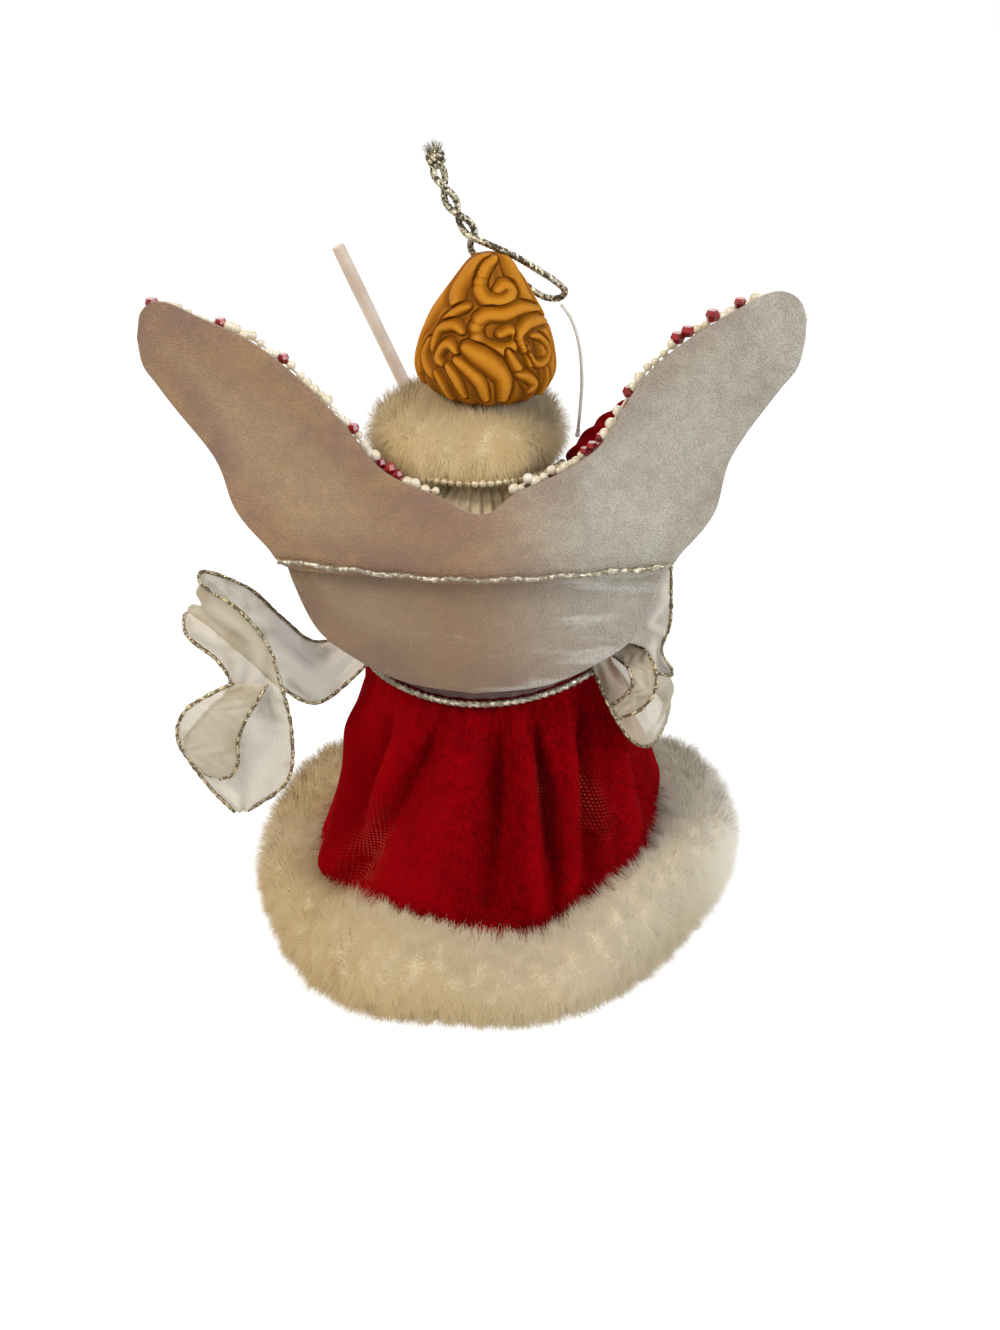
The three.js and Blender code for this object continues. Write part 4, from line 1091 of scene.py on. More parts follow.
@dataclass(frozen=True)
class Pile:
    """How fur grows: lengths in millimetres, shares of the length for lean and clumps."""

    length: float
    width: float = 0.16
    rise: float = 0.4
    spread: float = 0.28
    comb: float = 0.8
    clump: float = 0.45
    clump_size: float = 7.0
    droop: float = 0.12
    lowest: float = 0.05

    def grow(
        self, roots: np.ndarray, facing: np.ndarray, rng: np.random.Generator
    ) -> tuple[Shell, np.ndarray]:
        """Strands as strips of two quads that lie over the surface and droop with the square of their length.

        A point at share s of a strand is root + length * (s * start - s * s * droop). The start rises
        from the surface and lies along it: combed downwards at the sides and inwards on top, drawn
        together by a wide random field, and scattered. Strands that reach the ground lie on it.

        Args:
            roots: places of the roots.
            facing: direction of the surface at each.
            rng: source of the random draws.

        Returns:
            The strands, and a shading direction for each of their points.
        """
        count = len(roots)
        pull = [lumps(roots, self.clump_size, seed) for seed in (11, 12, 13)]
        upward = np.clip(facing[:, 2:], 0.0, 1.0)
        flow = mix(np.array([[0.0, 0.0, -1.0]]), -unit(roots * [1.0, 1.0, 0.0]), upward)
        lay = self.clump * stack(*pull) + rng.normal(0.0, self.spread, (count, 3)) + self.comb * flow
        lay = unit(lay - facing * np.einsum("ij,ij->i", lay, facing)[:, None])
        rise = np.clip(rng.normal(self.rise, 0.16, (count, 1)), 0.15, 0.95)
        start = unit(rise * facing + (1.0 - rise) * lay)
        lean = np.array([[0.0, 0.0, -self.droop]])
        length = (self.length * (1.0 + 0.5 * upward) * rng.uniform(0.75, 1.1, (count, 1)))[..., None]
        side = unit(np.cross(start, facing + [0.0, 0.0, 0.8] + 0.12 * rng.normal(size=(count, 3))))
        share = np.array([0.0, 0.5, 1.0])[None, :, None]
        half = 0.5 * self.width * np.array([1.0, 0.8, 0.2])[None, :, None] * side[:, None]
        middle = roots[:, None] + length * (share * start[:, None] + share**2 * lean[:, None])
        points = np.stack([middle - half, middle + half], axis=2)
        points[..., 2] = np.maximum(points[..., 2], self.lowest)
        index = np.arange(count * 6).reshape(count, 3, 2)
        corners = [index[:, :-1, 0], index[:, :-1, 1], index[:, 1:, 1], index[:, 1:, 0]]
        quads = np.stack(corners, axis=-1).reshape(-1, 4)
        tint = np.broadcast_to(rng.random((count, 1)), (count, 2))
        low, high = (np.broadcast_to(share[0, rows, 0], (count, 2)) for rows in (slice(0, 2), slice(1, 3)))
        uvs = np.stack([stack(tint, v) for v in (low, low, high, high)], axis=-2).reshape(-1, 4, 2)
        shading = unit(0.6 * facing + [0.0, 0.0, 0.6] + 0.15 * lay + rng.normal(0.0, 0.08, (count, 3)))
        return Shell(points.reshape(-1, 3), [quads], [uvs]), np.repeat(shading, 6, axis=0)


@dataclass
class FurTrim:
    """A fur piece: a lumpy backing and bunches of pile on it."""

    name: str
    body: Body
    pile: Pile
    strands: int
    bunches: int = 1

    def build(self, workshop: Workshop, backing: np.ndarray, seed: int) -> None:
        """Makes the backing from its ring-shaped grid and grows the pile on it.

        Args:
            workshop: hands the pieces over.
            backing: grid of points that wraps both ways.
            seed: picks the random draws.
        """
        shell = Shell.closed(backing)
        base = workshop.place(
            shell.make(f"{self.name}_backing"), self.body, PlushBacking, "cream_plush", (self.name,)
        )
        rng = np.random.default_rng(seed)
        roots, facing = shell.scatter(self.strands, rng)
        order = np.argsort(np.arctan2(roots[:, 1], roots[:, 0]))
        for number, part in enumerate(np.array_split(order, self.bunches), start=1):
            strands, shading = self.pile.grow(roots[part], facing[part], rng)
            piece = strands.make(f"{self.name}_pile_{number}", normals=shading)
            workshop.place(piece, self.body, Plush, "cream_plush", (self.name,))


@dataclass
class HemFur:
    """The plush band round the foot of the skirt."""

    bulge: float = 13.4
    gap: float = 0.6
    pile: Pile = field(default_factory=lambda: Pile(length=3.8, width=0.1, clump=0.6, clump_size=5.0))
    strands: int = 176_000
    bunches: int = 5
    swell: tuple = (
        (0.0, 0.0), (0.7, 0.0), (0.93, 0.18), (1.0, 0.42), (0.93, 0.7), (0.66, 0.92), (0.34, 1.0),
        (0.1, 0.97), (0.0, 0.8), (0.0, 0.4),
    )
    join: float = 46.0
    join_step: float = 3.0
    # Places where the band is squeezed in or stands out, and where it stands up: degrees, width, millimetres
    pinch: tuple = (
        (138, 22, 3.6), (157, 15, 4.0), (174, 16, 2.8), (12, 24, 2.0), (42, 24, 1.9), (95, 22, 1.3),
        (212, 22, -2.2), (325, 22, -4.0),
    )
    stand: tuple = ((325, 22, 5.0), (212, 22, 1.4))

    def backing(self) -> np.ndarray:
        """Grid of the band: its cross-section carried round the skirt, pulled in by most of the pile.

        Returns:
            Points by angle and place round the section, wrapping both ways.
        """
        angle = turns(300)[:, None]
        out, up = smooth_path([*self.swell, self.swell[0]], 61)[:-1].T
        inset = 0.4 * self.pile.length
        top = PATTERN.hem_top(angle) - inset
        lump = around(54.0, angle, 0.0 * angle)
        turned = np.mod(angle - np.radians(self.join), TURN)
        overlap = self.join_step * ease(0.0, 0.05, turned) * (1.0 - ease(0.3, 0.75, turned))
        top = top + 1.0 * lumps(lump, 44.0, 3) + 0.8 * overlap
        for middle, width, rise in self.stand:
            top = top + rise * bell(turn_from(angle, middle), np.radians(width))
        height = 0.6 + np.clip(up, 0.0, 1.0) * top
        inner = PATTERN.skirt_radius(np.maximum(height, PATTERN.skirt_hem), angle) + self.gap + 0.4
        outer = PATTERN.skirt_radius(PATTERN.skirt_hem, angle) + self.bulge - inset
        outer = outer + 1.0 * lumps(lump, 36.0, 4) + overlap
        for middle, width, depth in self.pinch:
            outer = outer - depth * bell(turn_from(angle, middle), np.radians(width))
        return around(mix(inner, outer, np.clip(out, 0.0, 1.0)), angle, height)

    def build(self, workshop: Workshop) -> None:
        """Makes the band."""
        trim = FurTrim("hem_fur", Body.FIGURE, self.pile, self.strands, self.bunches)
        trim.build(workshop, self.backing(), seed=21)


@dataclass
class CollarFur:
    """The fur ring round the neck, with a string of beads under it."""

    tube: float = 7.4
    lift: float = 4.6
    ring: float = 13.5
    pile: Pile = field(default_factory=lambda: Pile(length=3.8, width=0.11))
    strands: int = 45_000
    bead_radius: float = 0.85
    bead_count: int = 30
    bead_half_angle: float = 72.0
    bead_angle: float = 40.0
    slip: float = 2.7
    widen: float = 1.1
    fill: float = 1.25
    nape_rise: float = 2.6

    def build(self, workshop: Workshop) -> None:
        """Makes the fur ring, fuller and higher inside than out, and the beads."""
        angle = turns(160)[:, None]
        turn = turns(40)[None]
        middle = PATTERN.cone_height + self.lift
        thick = self.tube - 0.4 * self.pile.length
        thick = thick + 0.45 * lumps(around(self.ring, angle, 0.0 * angle), 16.0, 5)
        inside = ease(0.2, -0.8, np.cos(turn))
        reach = thick * np.cos(turn) * mix(1.0, self.fill, inside)
        grid = around(self.ring + reach, angle, middle + thick * np.sin(turn) + self.nape_rise * inside)
        grid = grid * [self.widen, 1.0, 1.0] + [self.slip, 0.0, 0.0]
        FurTrim("collar_fur", Body.FIGURE, self.pile, self.strands).build(workshop, grid, seed=22)
        reach = self.tube + self.bead_radius + PATTERN.gap
        radius = self.ring + reach * np.cos(np.radians(self.bead_angle))
        height = middle - reach * np.sin(np.radians(self.bead_angle))
        spots = np.linspace(-self.bead_half_angle, self.bead_half_angle, self.bead_count)
        places = around(radius, np.pi / 2 + np.radians(spots), height + 0.0 * spots)
        beads = copies(ball(12, 7), places, np.full(self.bead_count, self.bead_radius))
        thread = swept(smooth_path(places[::3], 60), np.full(60, 0.25), (0.0, 0.0, 1.0), 6)
        piece = Shell.joined([beads, thread]).make("collar_beads")
        workshop.place(piece, Body.FIGURE, GoldBead, "gold_beads", ("collar_bead_string",))


# Skirt, sash, bodice and yoke


@dataclass
class Skirt:
    """The gathered velvet skirt and the sash over its top.

    Each drape is a fold: its angle at the waist, its angle at the hem, its half width (all in degrees)
    and how far it stands out (plus) or in (minus).
    """

    thickness: float = 1.0
    drape_level: float = 27.0
    fold_gain: float = 1.2
    sash_cord: float = 0.7
    drapes: tuple = (
        (3, 12, 7, -2.4), (16, 31, 8, 3.6), (38, 41, 6, -2.6), (56, 40, 6, 2.8), (74, 47, 7, -3.2),
        (89, 72, 14, 4.2), (102, 96, 5.5, -3.4), (113, 110, 5, 4.4), (123, 116, 4, -3.2),
        (137, 122, 5, 3.8), (150, 131, 5, -3.2), (165, 150, 8, 4.0), (180, 172, 6, -2.8),
        (196, 195, 9, 3.6), (212, 214, 6, -3.0), (228, 230, 9, 3.8), (246, 248, 6, -3.2),
        (263, 262, 10, 3.8), (281, 279, 6, -3.2), (297, 298, 9, 3.8), (314, 315, 6, -3.0),
        (332, 334, 9, 3.4), (348, 352, 6, -2.6),
    )
    worn_spots: tuple = ((47, 27, 6, 9, 1.0), (118, 45, 3, 7, 0.8), (138, 41, 5, 6, 1.0))

    def cloth(self, height: np.ndarray, angle: np.ndarray) -> tuple[np.ndarray, np.ndarray]:
        """The velvet's distance from the axis: a plain oval, and drapes, gathers and small dents on it.

        A drape is a bell across the angle whose middle moves from its waist angle to its hem angle; all
        drapes fade out under the fur and under the sash.

        Args:
            height: heights above the floor.
            angle: directions in radians.

        Returns:
            The plain distances, and how far the cloth stands out from them.
        """
        fall = np.clip((PATTERN.sash_bottom - height) / (PATTERN.sash_bottom - self.drape_level), 0.0, 1.3)
        total = np.zeros(np.broadcast(height, angle).shape)
        for waist, hem, width, depth in self.drapes:
            off = np.degrees(turn_from(angle, mix(waist, hem, fall)))
            narrow = 0.75 if depth < 0 else 1.0
            total = total + self.fold_gain * depth * bell(off, narrow * width * mix(0.75, 1.1, fall))
        top = PATTERN.hem_top(angle)
        shown = ease(top - 4.0, top + 7.0, height)
        shown = shown * (1.0 - 0.98 * ease(PATTERN.sash_bottom - 16.0, PATTERN.sash_bottom - 1.0, height))
        gathers = 0.4 * np.cos(44.0 * angle + 3.0 * np.sin(3.0 * angle))
        gathers = gathers * bell(height - PATTERN.sash_bottom + 2.0, 7.0) * ease(40.0, 60.0, height)
        plain = PATTERN.skirt_radius(height, angle)
        dents = 0.35 * lumps(around(plain, angle, height), 17.0, 6) * shown
        return plain, shown * total + gathers + dents

    def build(self, workshop: Workshop) -> None:
        """Makes the skirt as a closed ring of cloth, then the sash and its cord."""
        columns, rows = 420, 110
        angle = turns(columns)[:, None]
        height = np.linspace(PATTERN.skirt_hem, PATTERN.skirt_top, rows)[None]
        plain, fold = self.cloth(height, angle)
        cloth = np.maximum(plain + fold, PATTERN.cone_radius(height) + PATTERN.gap + self.thickness)
        outside = around(cloth, angle, height)
        inside = around(cloth - self.thickness, angle, height)
        shell = Shell.lined(outside, inside)
        # U runs round the skirt for the weave
        shell.uvs = [uv[..., ::-1] for uv in shell.uvs]
        worn = np.zeros((columns, rows))
        for middle, level, width, tall, amount in self.worn_spots:
            off = np.degrees(turn_from(angle, middle))
            worn = worn + amount * bell(off, width) * bell(height - level, tall)
        # Painted light and shade: fold valleys are darkened and fold crests lightened
        painted_valley_shade, crest = ease(1.0, -3.6, fold), ease(2.0, 6.5, fold)
        values = {"worn": np.clip(worn, 0.0, 1.0), "painted_valley_shade": painted_valley_shade, "crest": crest}
        values = {key: np.concatenate([number, 0.0 * number], axis=1) for key, number in values.items()}
        piece = shell.make("velvet_skirt", values)
        workshop.place(piece, Body.FIGURE, Velvet, "velvet", ("skirt",))
        self._sash(workshop)

    def _sash(self, workshop: Workshop) -> None:
        """A band with crosswise gathers, and a glitter cord on its lower edge."""
        angle = turns(360)[:, None]
        low = PATTERN.sash_edge(angle)
        height = low + np.linspace(0.0, PATTERN.sash_width, 18)[None]
        ripple = 0.22 * np.sin(1.7 * height + 1.2 * np.sin(5.0 * angle))
        ripple = ripple + 0.15 * np.sin(31.0 * angle + height)
        inner = PATTERN.sash_radius(height, angle)
        outer = inner + PATTERN.sash_thickness + ripple
        shell = Shell.lined(around(outer, angle, height), around(inner, angle, height))
        piece = shell.make("sash_band")
        workshop.place(piece, Body.FIGURE, SheerMauve, "sheer_mauve", ("waist_sash",))
        radius = self.sash_cord
        level = low - radius - PATTERN.gap
        middle = PATTERN.skirt_radius(level, angle) + 2.0 * PATTERN.gap + radius
        turn = turns(10)[None]
        thick = radius * (1.0 + 0.25 * np.sin(3.0 * turn + 90.0 * angle))
        grid = around(middle + thick * np.cos(turn), angle, level + thick * np.sin(turn))
        cord = Shell.closed(grid).make("sash_glitter_cord")
        workshop.place(cord, Body.FIGURE, GlitterCord, "silver_cord", ("sash_edge_cord",))


@dataclass
class Bodice:
    """The padded velvet top and the pleated yoke behind its neck."""

    waist_width: float = 23.0
    chest_width: float = 20.4
    padding: float = 5.6
    top_gap: float = 4.4
    yoke_reach: float = 12.5
    yoke_fall: float = 6.5
    yoke_half_angle: float = 52.0
    yoke_pleats: int = 13
    yoke_pleat_depth: float = 0.7
    yoke_thickness: float = 0.5

    def build(self, workshop: Workshop) -> None:
        """Makes the bodice as ovals that grow and shrink with height, closed inside against the cone."""
        bottom = PATTERN.skirt_top + PATTERN.gap
        top = PATTERN.cone_height - self.top_gap
        share = np.array([0.0, 0.28, 0.58, 0.84, 0.95, 1.0])
        shoulder = PATTERN.shoulder_half_width
        width = np.array([
            self.waist_width, 21.5, self.chest_width, shoulder, 0.95 * shoulder, 0.5 * shoulder,
        ])
        pad = np.array([0.55, 1.0, 1.1, 1.0, 0.75, 0.3]) * self.padding
        depth = PATTERN.cone_radius(mix(bottom, top, share)) + pad
        profile = smooth_path(np.stack([mix(bottom, top, share), width, depth], axis=-1), 60)
        angle = turns(200)[:, None]
        height, half_width, half_depth = profile.T
        wrinkle = 0.25 * np.sin(0.9 * height + 4.0 * np.sin(2.0 * angle)) * bell(height - 92.0, 14.0)
        wide, deep = half_width + wrinkle, half_depth + wrinkle
        outside = stack(wide * np.cos(angle), deep * np.sin(angle), height)
        inner = PATTERN.cone_radius(height) + PATTERN.gap
        inside = around(inner + 0.0 * angle, angle, height)
        piece = Shell.lined(outside, inside).make("velvet_bodice")
        workshop.place(piece, Body.FIGURE, Velvet, "velvet", ("bodice",))
        self._yoke(workshop, top)

    def _yoke(self, workshop: Workshop, top: float) -> None:
        """A fan of sheer cloth, pleated more the further it is from the neck."""
        across = np.linspace(0.0, 1.0, 40 * self.yoke_pleats)[:, None]
        along = np.linspace(0.0, 1.0, 14)[None]
        angle = np.pi / 2 + np.radians(mix(-self.yoke_half_angle, self.yoke_half_angle, across))
        wave = np.cos(TURN * self.yoke_pleats * across)
        pleat = self.yoke_pleat_depth * along * np.sign(wave) * np.abs(wave) ** 0.7
        start = PATTERN.cone_radius(top) + 0.3 * self.padding + PATTERN.gap
        level = top + PATTERN.gap + self.yoke_pleat_depth - self.yoke_fall * along**2 + pleat
        reach = start + self.yoke_reach * along
        low, high = (around(reach, angle, level + rise) for rise in (0.0, self.yoke_thickness))
        piece = Shell.slab(low, high).outward().make("yoke_pleats", sharp=50.0)
        workshop.place(piece, Body.FIGURE, SheerTaupe, "sheer_mauve", ("back_yoke",))


# Wings


@dataclass
class Wings:
    """Felt wings: facing, upper and lower panels, seam cord, pad and beads."""

    half_span: float = 70.5
    top: float = 158.5
    notch: float = 114.5
    seam: float = 100.5
    seam_half: float = 42.6
    seam_bow: float = 1.5
    seam_cord: float = 0.58
    bottom: float = 70.9
    felt: float = 1.6
    facing: float = PATTERN.wing_facing
    facing_edge: float = 0.8
    pad_half: float = 8.0
    pad_tall: float = 18.0
    overlap: float = 5.0
    pearl: float = 1.45
    pearls: int = 40
    # Shares of the edge between which the beads are strung
    bead_run: tuple = (0.11, 0.982)
    # Height of the beads above the edge, at three shares of its length
    lift_at: tuple = (0.4, 0.68, 0.92)
    pearl_lift: dict = field(
        default_factory=lambda: {Side.LEFT: (-1.2, -1.0, -2.9), Side.RIGHT: (-0.3, -0.1, -2.8)}
    )
    lobe_fill: float = 2.0
    lobe_level: float = 136.0
    notch_shift: float = 2.6
    tip_rise: float = 3.0
    crest_rise: float = 1.3
    edge_sag: float = 6.3
    edge_sag_from: float = 28.0
    edge_sag_width: float = 6.6
    # Red beads: share of the edge, radius, and height above the edge
    reds: dict = field(default_factory=lambda: {
        Side.LEFT: (
            (0.2, 1.3, 0.9), (0.222, 1.5, 1.2), (0.25, 1.3, 0.7), (0.353, 1.4, 1.0), (0.582, 1.4, 1.0),
            (0.756, 1.4, 1.1), (0.935, 1.6, 2.3),
        ),
        Side.RIGHT: (
            (0.345, 1.2, 0.9), (0.375, 1.3, 0.8), (0.405, 1.2, 1.0), (0.5, 1.5, 1.0), (0.64, 1.6, 1.2),
            (0.668, 1.5, 1.0), (0.733, 1.6, 1.6), (0.804, 1.4, 1.6),
        ),
    })

    def __post_init__(self) -> None:
        """Draws the half outlines, from the middle outwards."""
        half, seam, seam_half, bottom = self.half_span, self.seam, self.seam_half, self.bottom
        lobe = [
            (seam_half + 3.4, seam + 4), (0.75 * half, seam + 13), (0.795 * half, seam + 25),
            (0.93 * half, seam + 40), (half - 1.3, self.top - 13), (half, self.top - 7),
        ]
        moon = [
            (0, bottom), (0.4 * seam_half, bottom + 2), (0.66 * seam_half, bottom + 6.8),
            (0.845 * seam_half, bottom + 12.8), (0.965 * seam_half, seam - 5.2),
            (seam_half, seam + 0.5 * self.seam_bow),
        ]
        head = seam + self.overlap
        self.upper_edge = smooth_path([
            (0, self.notch), (2.5, self.notch + 0.6), (8, self.notch + 4), (18.5, self.notch + 9),
            (27.5, self.notch + 20), (38.3, self.top - 14), (55.5, self.top - 3.6),
            (half - 6.5, self.top - 0.2), (half - 3, self.top - 0.9), (half - 0.9, self.top - 3),
            (half, self.top - 6.2),
        ], 400)
        felt_hem = seam - 1.6
        bowed = [
            (0, felt_hem), (0.5 * seam_half, felt_hem + 0.25 * self.seam_bow),
            (seam_half, felt_hem + self.seam_bow),
        ]
        self.upper_hem = smooth_path([*bowed, *lobe], 400)
        self.lower_hem = smooth_path(moon, 400)
        self.lower_head = smooth_path([
            (0, head), (0.5 * seam_half, head), (0.92 * seam_half, head),
            (seam_half, seam + 0.5 * self.seam_bow + 1),
        ], 400)
        self.facing_hem = smooth_path([*moon, *lobe], 400)

    def sag(self, x: np.ndarray) -> np.ndarray:
        """How far the upper edge hangs below its drawn line: a dip, less two crests and the lifted tips."""
        tips = self.tip_rise * ease(42.0, 66.0, -x) + 0.45 * self.tip_rise * ease(56.0, 70.0, x)
        crest = self.crest_rise * bell(np.abs(x) - 46.0, 9.0)
        return self.edge_sag * bell(x + self.edge_sag_from, self.edge_sag_width) - tips - crest

    def facing_depth(self, x: np.ndarray, z: np.ndarray) -> np.ndarray:
        """Front of the facing."""
        return PATTERN.wing_depth(x) - self.facing + 0.0 * z

    def lower_depth(self, x: np.ndarray, z: np.ndarray) -> np.ndarray:
        """Front of the lower panel."""
        return PATTERN.wing_depth(x) + PATTERN.gap + 0.0 * z

    def upper_depth(self, x: np.ndarray, z: np.ndarray) -> np.ndarray:
        """Front of the upper panel: over the lower panel at the seam, behind the facing above it."""
        head = self.seam + self.overlap
        step = self.felt + PATTERN.gap
        return PATTERN.wing_depth(x) + PATTERN.gap + step * (1.0 - ease(head + 2.0, head + 16.0, z))

    def panel(
        self, hem: np.ndarray, head: np.ndarray, depth: Callable, thick: float, drop: float
    ) -> tuple[Shell, np.ndarray]:
        """A mirrored panel between two half outlines, with soft swells and a rounded rim.

        Args:
            hem: lower half outline, from the middle outwards.
            head: upper half outline.
            depth: function of x and z that gives its front.
            thick: thickness of the cloth.
            drop: how far the panel is lowered.

        Returns:
            The panel, and for each point 1 near its rim and 0 in its middle.
        """
        half = np.linspace(-1.0, 1.0, 241)
        place = np.linspace(0.0, 1.0, len(hem))
        low, high = (
            np.stack([np.interp(np.abs(half), place, c) for c in line.T], axis=-1)
            for line in (hem, head)
        )
        share = np.linspace(0.0, 1.0, 61)[None, :, None]
        flat = mix(low[:, None], high[:, None], share)
        x, z = flat[..., 0] * np.sign(half)[:, None], flat[..., 1] - drop
        x = x + self.lobe_fill * (1.0 - share[..., 0]) * bell(z - self.lobe_level, 13.0) * ease(30.0, 50.0, x)
        if head is self.upper_edge:
            z = z - share[..., 0] * self.sag(x)
            x = x - share[..., 0] * self.notch_shift * bell(x, 9.0)
        width = np.linalg.norm(high - low, axis=1)[:, None]
        to_rim = np.minimum(share[..., 0], 1.0 - share[..., 0]) * width
        to_rim = np.minimum(to_rim, (1.0 - np.abs(half))[:, None] * self.half_span)
        front = depth(x, z)
        swell = 0.55 * lumps(stack(x, 0.0 * x, z), 34.0, 7) * ease(0.0, 8.0, to_rim)
        rim = 0.22 * thick * (1.0 - ease(0.0, 1.2, to_rim))
        near, far = stack(x, front + rim, z), stack(x, front + thick - rim + np.maximum(swell, 0.0), z)
        edge = 1.0 - ease(1.0, 16.0, to_rim)
        return Shell.slab(near, far).outward(), np.concatenate([edge, edge[:, ::-1]], axis=1)

    def build(self, workshop: Workshop) -> None:
        """Makes every piece of the wings."""
        plan = (
            ("facing", self.facing_hem, self.upper_edge, self.facing_depth, self.facing, self.facing_edge,
             FacingCloth, "wing_facing_cloth", (0.145, 0.09), 0.0065),
            ("upper_panel", self.upper_hem, self.upper_edge, self.upper_depth, self.felt, 0.0,
             WingFelt, "felt", (0.145, 0.065), 0.0046),
            ("lower_panel", self.lower_hem, self.lower_head, self.lower_depth, self.felt, 0.0,
             SatinFelt, "satin_felt", (0.09, 0.034), 0.0023),
        )
        for name, hem, head, depth, thick, drop, finish, slot, flat, area in plan:
            shell, edge = self.panel(hem, head, depth, thick, drop)
            piece = shell.make(f"wing_{name}_felt", {"edge": edge}, sharp=60.0)
            workshop.place(piece, Body.FIGURE, finish, slot, (f"wing_{name}",))
        self._seam(workshop)
        self._pad(workshop)
        for side in Side:
            self._beads(workshop, side)

    def _seam(self, workshop: Workshop) -> None:
        """A knobbly glitter cord along the seam, on the back of the upper panel."""
        x = np.linspace(-self.seam_half - 1.0, self.seam_half + 1.0, 420)
        level = self.seam + self.seam_bow * (x / self.seam_half) ** 2
        back = self.upper_depth(x, level) + self.felt + PATTERN.gap + 0.6
        path = stack(x, back, level + 0.2 * np.sin(0.55 * x))
        turn = turns(10)[None]
        knobs = 0.22 * lumps(path, 2.2, 8)[:, None] + 0.14 * np.cos(2.0 * turn + 2.1 * x[:, None])
        piece = swept(path, self.seam_cord * (1.0 + knobs), (0.0, 0.0, 1.0), 10).make("wing_glitter_cord")
        workshop.place(piece, Body.FIGURE, GlitterCord, "silver_cord", ("wing_seam_cord",))

    def _pad(self, workshop: Workshop) -> None:
        """A felt block between wings and bodice: a box whose front follows the bodice."""
        half, tall, middle = self.pad_half, self.pad_tall, self.seam - 0.9 * self.overlap
        back = PATTERN.wing_depth(half) - self.facing - PATTERN.gap
        x = np.linspace(-half, half, 40)[:, None]
        z = np.linspace(middle - tall / 2, middle + tall / 2, 40)[None]
        bodice_bottom, bodice_top = PATTERN.skirt_top + PATTERN.gap, PATTERN.cone_height - Bodice.top_gap
        share = (z - bodice_bottom) / (bodice_top - bodice_bottom)
        depth = PATTERN.cone_radius(z) + np.interp(share, [0.28, 0.58, 0.84], [5.6, 6.2, 5.6])
        wide = np.interp(share, [0.28, 0.84], [22.0, 20.0])
        front = depth * np.sqrt(1.0 - (x / wide) ** 2) + 2.0 * PATTERN.gap
        front = np.minimum(front, back - 0.4)
        shell = Shell.slab(stack(x, front, z), stack(x, back, z)).outward()
        piece = shell.make("wing_pad_felt", {"edge": np.zeros(len(shell.points))}, sharp=40.0)
        workshop.place(piece, Body.FIGURE, WingFelt, "felt", ("wing_pad",))

    def _beads(self, workshop: Workshop, side: Side) -> None:
        """Pearls and red cut beads crowded along the wing's edge, on a thread.

        Args:
            workshop: hands the pieces over.
            side: the wing.
        """
        label = side.label
        rng = np.random.default_rng(30 + side.value)
        reds = np.array(self.reds[side])
        share = np.linspace(*self.bead_run, self.pearls)
        clear = np.abs(share[:, None] - reds[:, 0]).min(axis=1) > 0.011
        share = share[clear] + rng.normal(0.0, 0.002, clear.sum())
        size = self.pearl * rng.uniform(0.6, 1.0, len(share))
        lift = self._lift(side, share) + rng.uniform(-0.5, 1.2, len(share))
        pearls = copies(ball(16, 9), self._on_edge(side, share, lift), size)
        cut_lift = reds[:, 2] + self._lift(side, reds[:, 0])
        cuts = copies(ball(7, 3), self._on_edge(side, reds[:, 0], cut_lift), reds[:, 1])
        run = np.linspace(*self.bead_run, 120)
        line = self._on_edge(side, run, self._lift(side, run) + 0.3)
        thread = swept(line, np.full(120, 0.3), (0.0, 1.0, 0.0), 6)
        node = f"wing_bead_string_{label}"
        strung = Shell.joined([pearls, thread]).make(f"wing_pearls_{label}")
        workshop.place(strung, Body.FIGURE, Pearl, "pearl_beads", (node,))
        cut_beads = cuts.make(f"wing_red_beads_{label}", sharp=5.0)
        workshop.place(cut_beads, Body.FIGURE, Garnet, "pearl_beads", (node,))

    def _lift(self, side: Side, share: np.ndarray) -> np.ndarray:
        """Height of the bead string above the wing's edge, at shares of its length."""
        return np.interp(share, self.lift_at, self.pearl_lift[side])

    def _on_edge(self, side: Side, share: np.ndarray, lift: np.ndarray) -> np.ndarray:
        """Places in front of the wing's upper edge, at shares of its length, lifted above it."""
        place = np.linspace(0.0, 1.0, len(self.upper_edge))
        x, z = (np.interp(share, place, column) for column in self.upper_edge.T)
        depth = PATTERN.wing_depth(x) - self.facing - PATTERN.gap - self.pearl
        shift = self.notch_shift * bell(x, 9.0)
        return stack(side.value * x - shift, depth, z + lift - self.sag(side.value * x))


# Head


